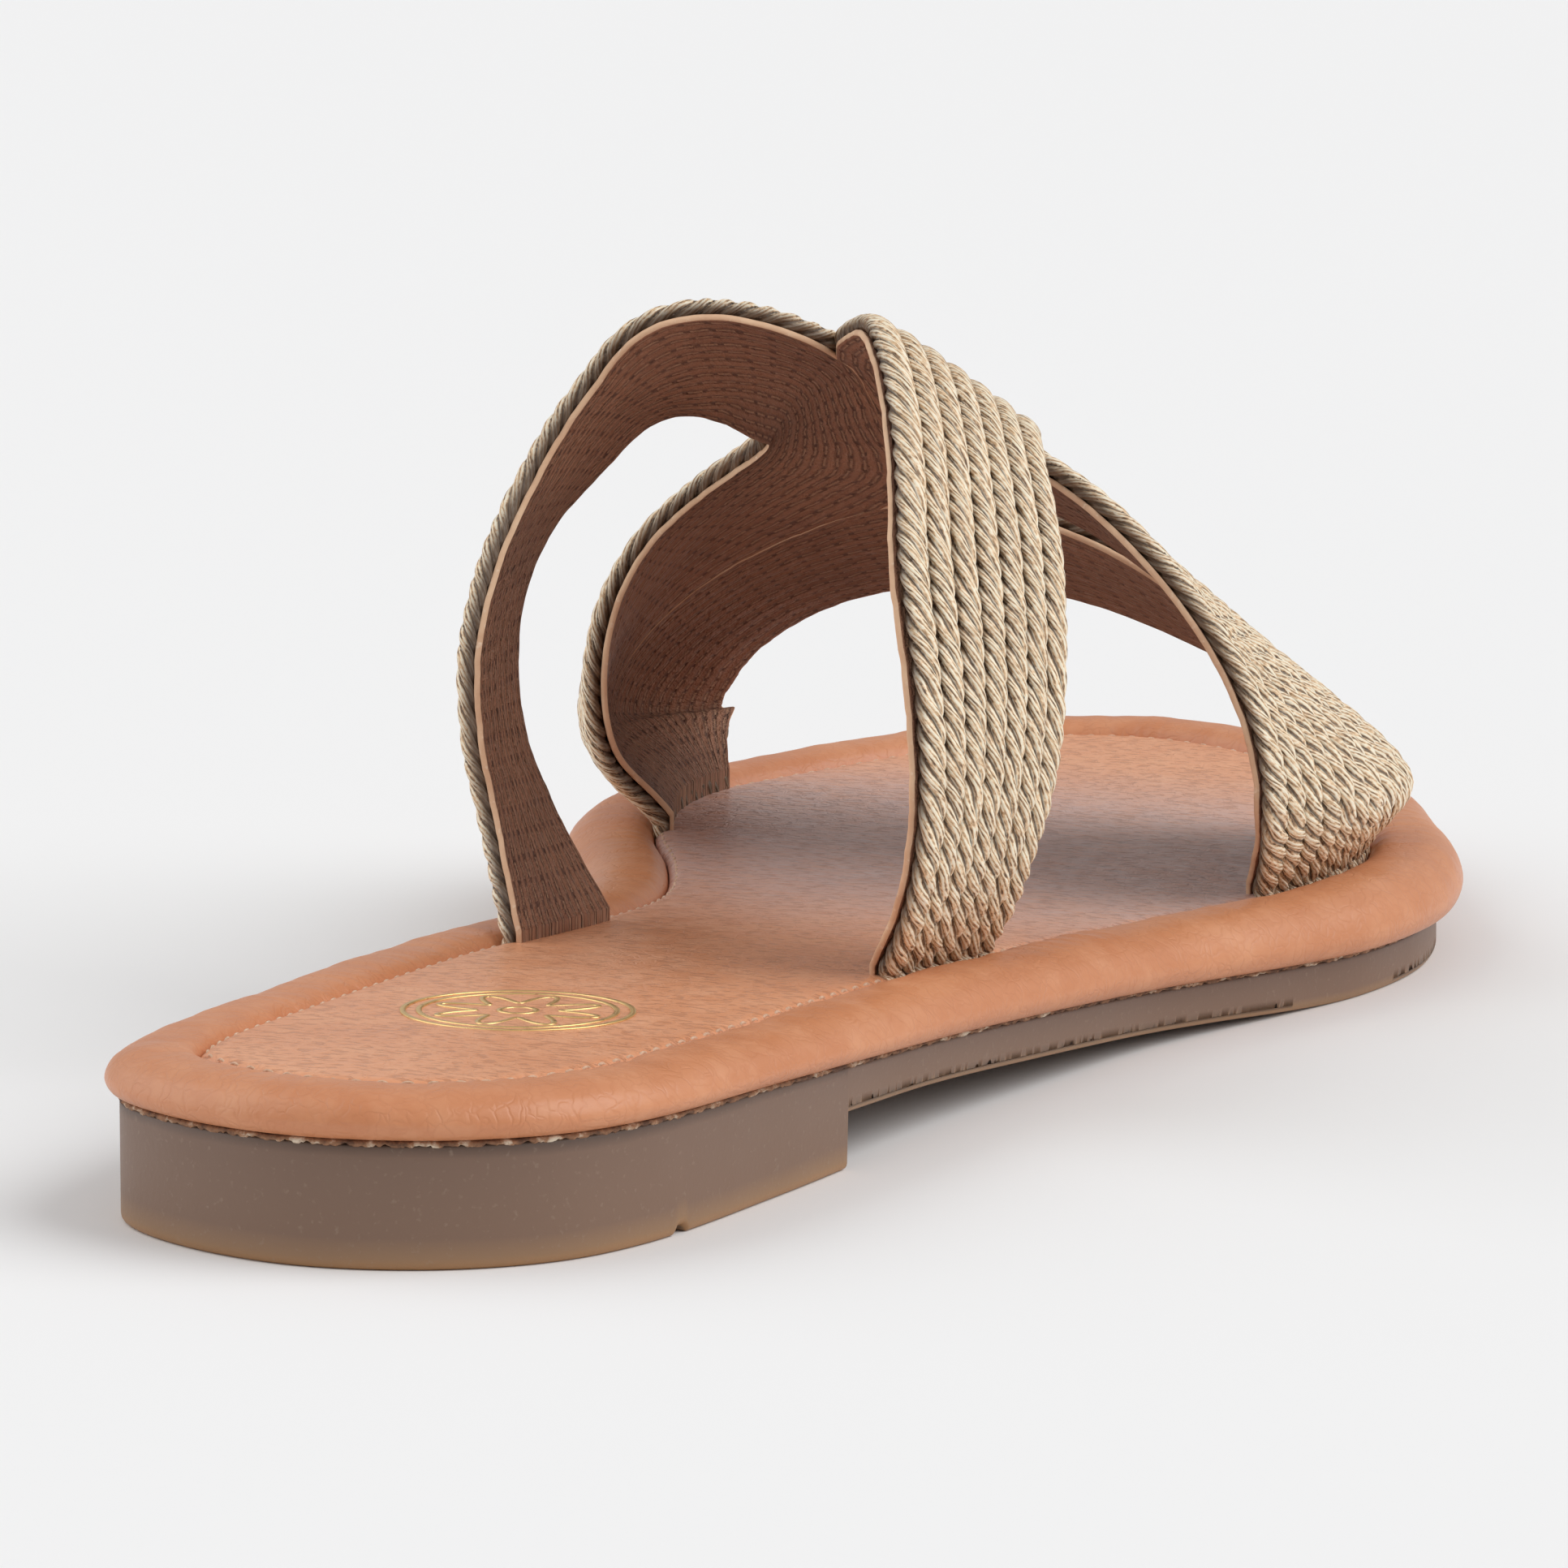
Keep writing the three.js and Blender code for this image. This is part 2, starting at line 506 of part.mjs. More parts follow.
const MATERIALS = {
  rubber: new THREE.MeshStandardMaterial({ color: 0x83705f, roughness: 0.62, metalness: 0 }),
  rimLeather: new THREE.MeshStandardMaterial({ color: 0xc4845f, roughness: 0.42, metalness: 0 }),
  sockLeather: new THREE.MeshStandardMaterial({ color: 0xc98b6c, roughness: 0.5, metalness: 0 }),
  goldCord: new THREE.MeshStandardMaterial({ color: 0xcbb08a, roughness: 0.38, metalness: 0.55 }),
};

function namedMesh(name, solid, material) {
  const mesh = new THREE.Mesh(toGeometry(solid), material);
  mesh.name = name;
  return mesh;
}

const slots = makeSlots();
const shoe = new THREE.Group();
shoe.add(
  namedMesh('outsole', makeOutsole(), MATERIALS.rubber),
  namedMesh('footbed_rim', makeRim().subtract(slots), MATERIALS.rimLeather),
  namedMesh('insole', makeInsole().subtract(slots), MATERIALS.sockLeather),
  namedMesh('upper', makeUpper(), MATERIALS.goldCord),
);

// The origin lies on the floor under the middle of the shoe's box
const box = new THREE.Box3().setFromObject(shoe);
shoe.position.set(-(box.min.x + box.max.x) / 2, -(box.min.y + box.max.y) / 2, 0);

export default shoe;
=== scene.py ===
"""Corded slide sandal, right shoe: the dressed model around its CAD frame.

Sizes are in millimetres in the shoe's own axes: x from the back of the heel to the toe, y to the medial
side, z up from the floor. Meshes are written in metres in the row's frame.
"""
import logging
import math
from dataclasses import dataclass, field
from enum import Enum
from typing import Callable, Sequence

import bmesh
import bpy
import numpy as np
from mathutils import Matrix, Vector


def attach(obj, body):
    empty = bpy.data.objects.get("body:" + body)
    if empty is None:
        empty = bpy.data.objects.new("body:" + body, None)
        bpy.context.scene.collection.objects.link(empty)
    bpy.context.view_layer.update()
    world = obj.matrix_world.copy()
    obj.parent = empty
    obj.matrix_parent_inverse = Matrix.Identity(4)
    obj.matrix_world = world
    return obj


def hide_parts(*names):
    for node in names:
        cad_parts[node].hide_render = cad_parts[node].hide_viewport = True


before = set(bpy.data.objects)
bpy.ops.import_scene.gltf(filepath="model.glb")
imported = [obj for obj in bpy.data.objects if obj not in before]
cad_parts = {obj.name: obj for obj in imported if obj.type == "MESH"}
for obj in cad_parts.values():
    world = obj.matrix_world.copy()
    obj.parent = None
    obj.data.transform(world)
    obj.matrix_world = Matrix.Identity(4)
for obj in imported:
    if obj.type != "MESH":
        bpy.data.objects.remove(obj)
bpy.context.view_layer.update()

LOG = logging.getLogger("sandal")
METRE = 0.001
Array = np.ndarray
HeightMap = Callable[[Array], Array]

# Driving sizes of the shoe
LENGTH = 244.0
BALL_WIDTH = 96.0
HEEL_HEIGHT = 12.0
BREAST = 58.0
GROOVE_FROM_HEEL = 26.0
RIM_OVERHANG = 2.8
SEAM_INSET = 7.4
SEAM_HEIGHT = 6.0
RIM_CROWN = 1.4
CLEARANCE = 0.3
INSTEP_HEIGHT = 64.0
STRAP_SPREAD = 15.0
CREST_SHIFT = 8.0
SOFTNESS = 1.7
SEAM_LIFT = 3.2
LIFT_TURN = 0.22
BACKING = 0.9
CORD_RELIEF = 2.1
CORDS = 7
FOOT_DEPTH = 3.2
SHIFT = (-122.75, 0.805, 0.0)

# Outline of the outsole wall: along in LENGTH, lateral and medial in BALL_WIDTH
PLAN_COLUMNS = "along lateral medial"
PLAN_ROWS = (
    (0.012, 0.124, 0.134), (0.041, 0.216, 0.236), (0.082, 0.267, 0.271), (0.184, 0.306, 0.279),
    (0.328, 0.336, 0.275), (0.430, 0.366, 0.259), (0.512, 0.399, 0.272), (0.594, 0.461, 0.350),
    (0.656, 0.504, 0.434), (0.717, 0.511, 0.487), (0.779, 0.476, 0.494), (0.840, 0.401, 0.446),
    (0.902, 0.312, 0.366), (0.951, 0.212, 0.287), (0.985, 0.094, 0.204),
)
TOE_TIP = 0.060

# Side profile of the outsole: along in LENGTH, top and bottom in HEEL_HEIGHT
PROFILE_COLUMNS = "along top bottom"
PROFILE_ROWS = (
    (-0.03, 0.985, 0.50), (0.150, 0.910, 0.49), (0.290, 0.780, 0.42), (0.420, 0.625, 0.26),
    (0.550, 0.460, 0.09), (0.640, 0.395, 0.00), (0.830, 0.375, 0.00), (0.920, 0.425, 0.06),
    (1.030, 0.470, 0.13),
)

# Seam and rim: along in LENGTH, height in SEAM_HEIGHT, crown in RIM_CROWN, overhang in RIM_OVERHANG
SEAM_COLUMNS = "along height crown overhang"
SEAM_ROWS = (
    (0.00, 0.76, 0.30, 0.45), (0.15, 0.72, 0.40, 0.55), (0.32, 0.84, 0.50, 0.80),
    (0.50, 0.92, 0.70, 1.00), (0.72, 1.08, 0.80, 1.00), (1.00, 1.20, 0.80, 1.00),
)

# Section of the padded rim: out from the seam to the overhang, up to the seam, share of the crown
RIM_COLUMNS = "out up crown"
RIM_ROWS = (
    (0.03, 0.00, 0.0), (0.68, 0.00, 0.0), (0.90, 0.08, 0.0), (1.00, 0.34, 0.0), (0.97, 0.60, 0.2),
    (0.85, 0.82, 0.6), (0.60, 0.97, 1.0), (0.26, 1.00, 0.9), (0.03, 0.86, 0.2), (0.00, 0.60, 0.0),
)

# Form of the foot under the straps, as shares of the sizes above
INSTEP_COLUMNS = "along height lateral medial crest soft"
INSTEP_ROWS = (
    (0.16, 1.00, 0.70, 0.47, 0.75, 1.00), (0.31, 1.00, 0.85, 0.68, 0.90, 1.00),
    (0.43, 1.055, 0.98, 0.86, 1.00, 1.00), (0.55, 0.917, 0.96, 0.95, 0.92, 1.10),
    (0.64, 0.71, 0.88, 0.98, 0.83, 1.28), (0.72, 0.52, 0.86, 0.96, 0.74, 1.30),
    (0.80, 0.38, 0.80, 0.82, 0.65, 1.25), (0.92, 0.30, 0.53, 0.53, 0.50, 1.10),
)

# Straps as sections from foot to foot: the near edge and the far edge, each along in LENGTH and round
# from the lateral seam (0) to the medial seam (1)
STRAP_COLUMNS = "near_along near_round far_along far_round"
LATERAL_ROWS = (
    (0.428, 0.000, 0.340, 0.000), (0.415, 0.090, 0.324, 0.090),
    (0.421, 0.140, 0.322, 0.150), (0.440, 0.210, 0.327, 0.210),
    (0.469, 0.270, 0.343, 0.270), (0.500, 0.320, 0.380, 0.325),
    (0.540, 0.362, 0.430, 0.385), (0.582, 0.396, 0.490, 0.445),
    (0.600, 0.410, 0.545, 0.496), (0.604, 0.404, 0.605, 0.500),
    (0.603, 0.388, 0.655, 0.500), (0.601, 0.365, 0.652, 0.445),
    (0.601, 0.325, 0.646, 0.382), (0.600, 0.265, 0.661, 0.310),
    (0.597, 0.210, 0.677, 0.225), (0.595, 0.150, 0.686, 0.155),
    (0.600, 0.090, 0.691, 0.090), (0.628, 0.000, 0.700, 0.000),
)
MEDIAL_ROWS = (
    (0.430, 1.000, 0.352, 1.000), (0.432, 0.910, 0.380, 0.910),
    (0.428, 0.850, 0.387, 0.850), (0.438, 0.787, 0.395, 0.800),
    (0.461, 0.745, 0.414, 0.757), (0.500, 0.694, 0.442, 0.708),
    (0.531, 0.632, 0.460, 0.650), (0.570, 0.602, 0.463, 0.590),
    (0.598, 0.583, 0.491, 0.537), (0.606, 0.576, 0.541, 0.496),
    (0.611, 0.584, 0.605, 0.500), (0.614, 0.608, 0.655, 0.500),
    (0.612, 0.645, 0.684, 0.545), (0.604, 0.695, 0.698, 0.630),
    (0.599, 0.755, 0.705, 0.740), (0.606, 0.820, 0.719, 0.815),
    (0.632, 0.900, 0.731, 0.900), (0.674, 1.000, 0.739, 1.000),
)
TOE_ROWS = (
    (0.733, 1.000, 0.785, 1.000), (0.715, 0.900, 0.818, 0.900),
    (0.703, 0.820, 0.813, 0.820), (0.697, 0.745, 0.807, 0.740),
    (0.694, 0.665, 0.788, 0.660), (0.689, 0.590, 0.767, 0.580),
    (0.676, 0.512, 0.757, 0.500), (0.671, 0.430, 0.755, 0.430),
    (0.665, 0.370, 0.766, 0.360), (0.661, 0.300, 0.780, 0.280),
    (0.671, 0.225, 0.785, 0.200), (0.680, 0.155, 0.783, 0.130),
    (0.685, 0.090, 0.778, 0.070), (0.694, 0.000, 0.774, 0.000),
)


class Column:
    """Monotone cubic through one column of a table.

    Between two rows y = y0 (1 - b) + y1 b + w t (1 - t) ((1 - t) m0 - t m1), where b = t t (3 - 2 t),
    w is the gap between the rows and m0, m1 are harmonic means of the slopes on both sides.
    """

    def __init__(self, xs: Array, ys: Array) -> None:
        """Prepares the tangents at the rows.

        Args:
            xs: places of the rows, rising.
            ys: values at the rows.
        """
        slope = np.diff(ys) / np.diff(xs)
        product = slope[:-1] * slope[1:]
        total = np.where(product > 0, slope[:-1] + slope[1:], 1.0)
        inner = np.where(product > 0, 2 * product / total, 0.0)
        self.xs, self.ys = xs, ys
        self.tangent = np.concatenate([slope[:1], inner, slope[-1:]])

    def __call__(self, x: Array) -> Array:
        """Value of the curve at x, held at the ends."""
        x = np.clip(x, self.xs[0], self.xs[-1])
        i = np.clip(np.searchsorted(self.xs, x, side="right") - 1, 0, len(self.xs) - 2)
        width = self.xs[i + 1] - self.xs[i]
        t = (x - self.xs[i]) / width
        rise = t * t * (3 - 2 * t)
        bend = width * t * (1 - t) * ((1 - t) * self.tangent[i] - t * self.tangent[i + 1])
        return self.ys[i] * (1 - rise) + self.ys[i + 1] * rise + bend


def table(columns: str, rows: Sequence[Sequence[float]]) -> dict[str, Array]:
    """Named columns of a short table.

    Args:
        columns: names of the columns, with spaces between.
        rows: the rows of the table.

    Returns:
        One array for each name.
    """
    return dict(zip(columns.split(), np.array(rows, float).T))


def curves(columns: str, rows: Sequence[Sequence[float]]) -> dict[str, Column]:
    """Monotone curves of the columns of a table over its first column."""
    named = table(columns, rows)
    first = columns.split()[0]
    return {name: Column(named[first], ys) for name, ys in named.items() if name != first}


def spline(points: Array, closed: bool, per_segment: int) -> Array:
    """Centripetal Catmull-Rom curve through points.

    Each segment is a Hermite cubic whose end tangents come from chords raised to the power 1/2.

    Args:
        points: (N, D) points to pass through.
        closed: whether the curve returns to its first point.
        per_segment: steps in each segment.

    Returns:
        (M, D) points on the curve; an open curve includes its last point.
    """
    if closed:
        p = np.vstack([points[-1:], points, points[:2]])
    else:
        p = np.vstack([2 * points[:1] - points[1:2], points, 2 * points[-1:] - points[-2:-1]])
    a, b, c, d = p[:-3], p[1:-2], p[2:-1], p[3:]
    chord = [np.sqrt(np.linalg.norm(v - u, axis=1, keepdims=True)) for u, v in ((a, b), (b, c), (c, d))]
    before, here, after = [np.maximum(k, 1e-6) for k in chord]
    start = ((b - a) / before - (c - a) / (before + here) + (c - b) / here) * here
    end = ((c - b) / here - (d - b) / (here + after) + (d - c) / after) * here
    t = np.linspace(0, 1, per_segment, endpoint=False)[None, :, None]
    b, c, start, end = (v[:, None, :] for v in (b, c, start, end))
    curve = (b * (2 * t**3 - 3 * t**2 + 1) + start * (t**3 - 2 * t**2 + t)
             + c * (3 * t**2 - 2 * t**3) + end * (t**3 - t**2))
    flat = curve.reshape(-1, points.shape[1])
    return flat if closed else np.vstack([flat, points[-1:]])


def resample(points: Array, distance: Array) -> Array:
    """Points of a polyline at given distances along it."""
    length = np.concatenate([[0], np.cumsum(np.linalg.norm(np.diff(points, axis=0), axis=1))])
    return np.stack([np.interp(distance, length, points[:, k]) for k in range(points.shape[1])], axis=1)


def unit(v: Array) -> Array:
    """Vectors of length one along the last axis."""
    return v / np.maximum(np.linalg.norm(v, axis=-1, keepdims=True), 1e-9)


class Noise1D:
    """Smooth seeded wobble: a sum of sines with falling weight and random phase."""

    def __init__(self, seed: int, longest: float, octaves: int = 5) -> None:
        """Draws the phases.

        Args:
            seed: seed of the random draw.
            longest: longest wave in millimetres.
            octaves: number of sines, each about 1.8 times shorter than the last.
        """
        draw = np.random.default_rng(seed)
        step = np.arange(octaves)
        self.wave = longest / 1.83**step
        self.phase = draw.uniform(0, 2 * math.pi, octaves)
        self.weight = 0.62**step / np.sum(0.62**step)

    def __call__(self, s: Array) -> Array:
        """Wobble between about -1 and 1 at distances s in millimetres."""
        turns = 2 * math.pi * np.asarray(s)[..., None] / self.wave + self.phase
        return np.sum(self.weight * np.sin(turns), axis=-1)


class FootPlan:
    """Outline of the outsole wall, sampled so that each lateral point faces a medial one."""

    def __init__(self, stations: Array) -> None:
        """Samples the outline at stations.

        Args:
            stations: places along the shoe from 0 to LENGTH, rising, both ends included.
        """
        rows = table(PLAN_COLUMNS, PLAN_ROWS)
        lateral = np.stack([rows["along"] * LENGTH, -rows["lateral"] * BALL_WIDTH], axis=1)
        medial = np.stack([rows["along"] * LENGTH, rows["medial"] * BALL_WIDTH], axis=1)
        toe = np.array([[LENGTH, TOE_TIP * BALL_WIDTH]])
        line = spline(np.vstack([[[0.0, 0.0]], lateral, toe, medial[::-1]]), True, 120)
        line = self.eased(line)
        line[:, 0] = (line[:, 0] - line[:, 0].min()) / np.ptp(line[:, 0]) * LENGTH
        line = np.roll(line, -int(np.argmin(line[:, 0])), axis=0)
        turn = int(np.argmax(line[:, 0]))
        index = np.arange(len(line))
        out = np.interp(stations, np.maximum.accumulate(line[: turn + 1, 0]), index[: turn + 1])
        back = np.concatenate([line[turn:], line[:1]])[::-1]
        home = len(line) - np.interp(stations, np.maximum.accumulate(back[:, 0]), np.arange(len(back)))
        place = np.concatenate([out, home[-2:0:-1]])
        following = np.roll(line, -6, axis=0) - np.roll(line, 6, axis=0)
        normal = unit(np.stack([following[:, 1], -following[:, 0]], axis=1))
        wrap = np.arange(len(line) + 1)
        self.points = self.at(place, wrap, line)
        self.normals = unit(self.at(place, wrap, normal))
        self.count = len(stations)

    @staticmethod
    def eased(line: Array) -> Array:
        """The closed line with its slight changes of bend smoothed over about 6 mm."""
        reach = np.arange(-20, 21)
        weight = np.exp(-((reach / 9.0) ** 2))
        weight /= weight.sum()
        return sum(w * np.roll(line, k, axis=0) for w, k in zip(weight, reach))

    @staticmethod
    def at(place: Array, wrap: Array, values: Array) -> Array:
        """Values of a closed list at fractional places."""
        ring = np.vstack([values, values[:1]])
        return np.stack([np.interp(place % len(values), wrap, ring[:, k]) for k in range(2)], axis=1)

    def ring(self, distance: Array | float) -> Array:
        """The outline moved outwards by a distance, one for all points or one for each."""
        return self.points + self.normals * np.asarray(distance, float).reshape(-1, 1)

    def lid(self, ring: Array, across: int) -> Array:
        """Grid of points inside a ring, from its lateral half straight over to its medial half.

        Args:
            ring: (2n - 2, D) points in the order of this outline.
            across: number of points across.

        Returns:
            (n, across, D) points: lateral (1 - t) + medial t.
        """
        lateral = ring[: self.count]
        medial = np.vstack([ring[:1], ring[self.count - 1:][::-1]])
        t = np.linspace(0, 1, across)[None, :, None]
        return lateral[:, None, :] * (1 - t) + medial[:, None, :] * t


def even_stations(count: int) -> Array:
    """Stations along the shoe that crowd at both ends: x = LENGTH (1 - cos a) / 2."""
    return LENGTH * (1 - np.cos(np.linspace(0, math.pi, count))) / 2


class Last:
    """Heights of the sole and the form of the foot above it."""

    def __init__(self) -> None:
        """Reads the curves from the tables."""
        self.profile = curves(PROFILE_COLUMNS, PROFILE_ROWS)
        self.seam = curves(SEAM_COLUMNS, SEAM_ROWS)
        self.instep = curves(INSTEP_COLUMNS, INSTEP_ROWS)
        plan = FootPlan(even_stations(400))
        inner = plan.ring(-SEAM_INSET)
        self.lateral_seam = inner[20:380]
        self.medial_seam = np.vstack([inner[:1], inner[399:][::-1]])[20:380]

    def outsole_top(self, x: Array) -> Array:
        """Top of the outsole at x."""
        return HEEL_HEIGHT * self.profile["top"](x / LENGTH)

    def underside(self, x: Array) -> Array:
        """Underside of the outsole at x, without the heel block."""
        return HEEL_HEIGHT * self.profile["bottom"](x / LENGTH)

    def seam_top(self, x: Array) -> Array:
        """Height of the seam between rim and insole at x."""
        return self.outsole_top(x) + SEAM_HEIGHT * self.seam["height"](x / LENGTH)

    def surface(self, x: Array, turn: Array) -> Array:
        """Points on the form of the foot.

        y = (lateral (1 + cos a) + medial (1 - cos a)) / 2 + crest sin2 a - lean sin 2a and
        z = seam + height sin a ** softness + lift b e^(1 - b), where a = pi turn and b is the turn from
        the nearer seam as a share of LIFT_TURN.

        Args:
            x: places along the shoe.
            turn: 0 at the lateral seam to 1 at the medial seam.

        Returns:
            (..., 3) points.
        """
        along = x / LENGTH
        angle = np.clip(turn, 0, 1) * math.pi
        lateral = np.interp(x, self.lateral_seam[:, 0], self.lateral_seam[:, 1])
        medial = np.interp(x, self.medial_seam[:, 0], self.medial_seam[:, 1])
        side = np.where(turn < 0.5, self.instep["lateral"](along), self.instep["medial"](along))
        crest = CREST_SHIFT * self.instep["crest"](along) * np.sin(angle) ** 2
        y = (lateral * (1 + np.cos(angle)) + medial * (1 - np.cos(angle))) / 2
        y = y + crest - STRAP_SPREAD * side * np.sin(2 * angle)
        sine = np.maximum(np.sin(angle), 0)
        rise = sine ** (SOFTNESS * (1 + (self.instep["soft"](along) - 1) * sine))
        from_seam = np.minimum(angle, math.pi - angle) / LIFT_TURN
        lift = SEAM_LIFT * from_seam * np.exp(1 - from_seam)
        z = self.seam_top(x) + INSTEP_HEIGHT * self.instep["height"](along) * rise + lift
        return np.stack([x + 0 * turn, y, z], axis=-1)

    def outward(self, x: Array, turn: Array) -> Array:
        """Outward unit directions of the form of the foot."""
        held = np.clip(turn, 0.07, 0.93)
        along = self.surface(x + 1.5, held) - self.surface(x - 1.5, held)
        around = self.surface(x, held + 0.02) - self.surface(x, held - 0.02)
        return unit(np.cross(along, around))


class MeshWriter:
    """Turns grids of points in millimetres into smooth meshes in metres in the row's frame."""

    def __init__(self) -> None:
        """Starts with no points."""
        self.points: list[Array] = []
        self.quads: list[Array] = []
        self.uvs: list[Array] = []
        self.slots: list[Array] = []
        self.share: list[Array] = []
        self.total = 0

    def grid(self, points: Array, wrap_rows: bool = False, wrap_columns: bool = False, flip: bool = False,
             uv: Array | None = None, slot: int | Array = 0, share: Array | None = None) -> None:
        """Adds a grid of quads.

        Args:
            points: (R, C, 3) points.
            wrap_rows: joins the last row to the first.
            wrap_columns: joins the last column to the first.
            flip: turns the faces over.
            uv: (R + 1 or R, C + 1 or C, 2) texture places, with one more row or column where it wraps.
            slot: material index, one for all faces or one for each column of faces.
            share: (R, C) values for the attribute named share.
        """
        rows, columns = points.shape[:2]
        r = np.arange(rows if wrap_rows else rows - 1)
        c = np.arange(columns if wrap_columns else columns - 1)
        i, j = np.meshgrid(r, c, indexing="ij")
        k, m = (i + 1) % rows, (j + 1) % columns
        corner = [(i, j), (k, j), (k, m), (i, m)]
        places = [(i, j), (i + 1, j), (i + 1, j + 1), (i, j + 1)]
        if flip:
            corner, places = corner[::-1], places[::-1]
        faces = np.stack([a * columns + b for a, b in corner], axis=-1).reshape(-1, 4)
        self.quads.append(faces + self.total)
        self.points.append(points.reshape(-1, 3))
        self.total += rows * columns
        if uv is None:
            self.uvs.append(np.zeros((len(faces) * 4, 2)))
        else:
            self.uvs.append(np.stack([uv[a, b] for a, b in places], axis=-2).reshape(-1, 2))
        self.slots.append(np.broadcast_to(np.asarray(slot), i.shape).reshape(-1))
        self.share.append(np.zeros(rows * columns) if share is None else share.reshape(-1))

    def piece(self, name: str, materials: Sequence[bpy.types.Material], merge: float = 0.0) -> bpy.types.Object:
        """Makes the object.

        Args:
            name: name of the piece.
            materials: its materials, in the order of the slots.
            merge: corners closer than this many millimetres are made one, where more than 0.

        Returns:
            The new object, linked to the scene.
        """
        mesh = bpy.data.meshes.new(name)
        co = ((np.vstack(self.points) + np.array(SHIFT)) * METRE).astype(np.float32)
        quads = np.vstack(self.quads).astype(np.int32)
        mesh.vertices.add(len(co))
        mesh.vertices.foreach_set("co", co.ravel())
        mesh.loops.add(quads.size)
        mesh.loops.foreach_set("vertex_index", quads.ravel())
        mesh.polygons.add(len(quads))
        mesh.polygons.foreach_set("loop_start", np.arange(len(quads), dtype=np.int32) * 4)
        mesh.update(calc_edges=True)
        mesh.polygons.foreach_set("use_smooth", np.ones(len(quads), bool))
        mesh.polygons.foreach_set("material_index", np.concatenate(self.slots).astype(np.int32))
        layer = mesh.uv_layers.new(name="lay")
        layer.data.foreach_set("uv", np.vstack(self.uvs).astype(np.float32).ravel())
        shares = mesh.attributes.new("share", "FLOAT", "POINT")
        shares.data.foreach_set("value", np.concatenate(self.share).astype(np.float32))
        if merge > 0:
            self.merged(mesh, merge)
        mesh.validate()
        obj = bpy.data.objects.new(name, mesh)
        bpy.context.scene.collection.objects.link(obj)
        for material in materials:
            mesh.materials.append(material)
        LOG.info("%s: %d faces", name, len(mesh.polygons))
        return obj

    @staticmethod
    def merged(mesh: bpy.types.Mesh, merge: float) -> None:
        """Makes near corners one, drops the faces that this collapses and turns the rest outwards."""
        work = bmesh.new()
        work.from_mesh(mesh)
        bmesh.ops.remove_doubles(work, verts=work.verts, dist=merge * METRE)
        bmesh.ops.dissolve_degenerate(work, edges=work.edges, dist=1e-7)
        bmesh.ops.recalc_face_normals(work, faces=work.faces)
        work.to_mesh(mesh)
        work.free()


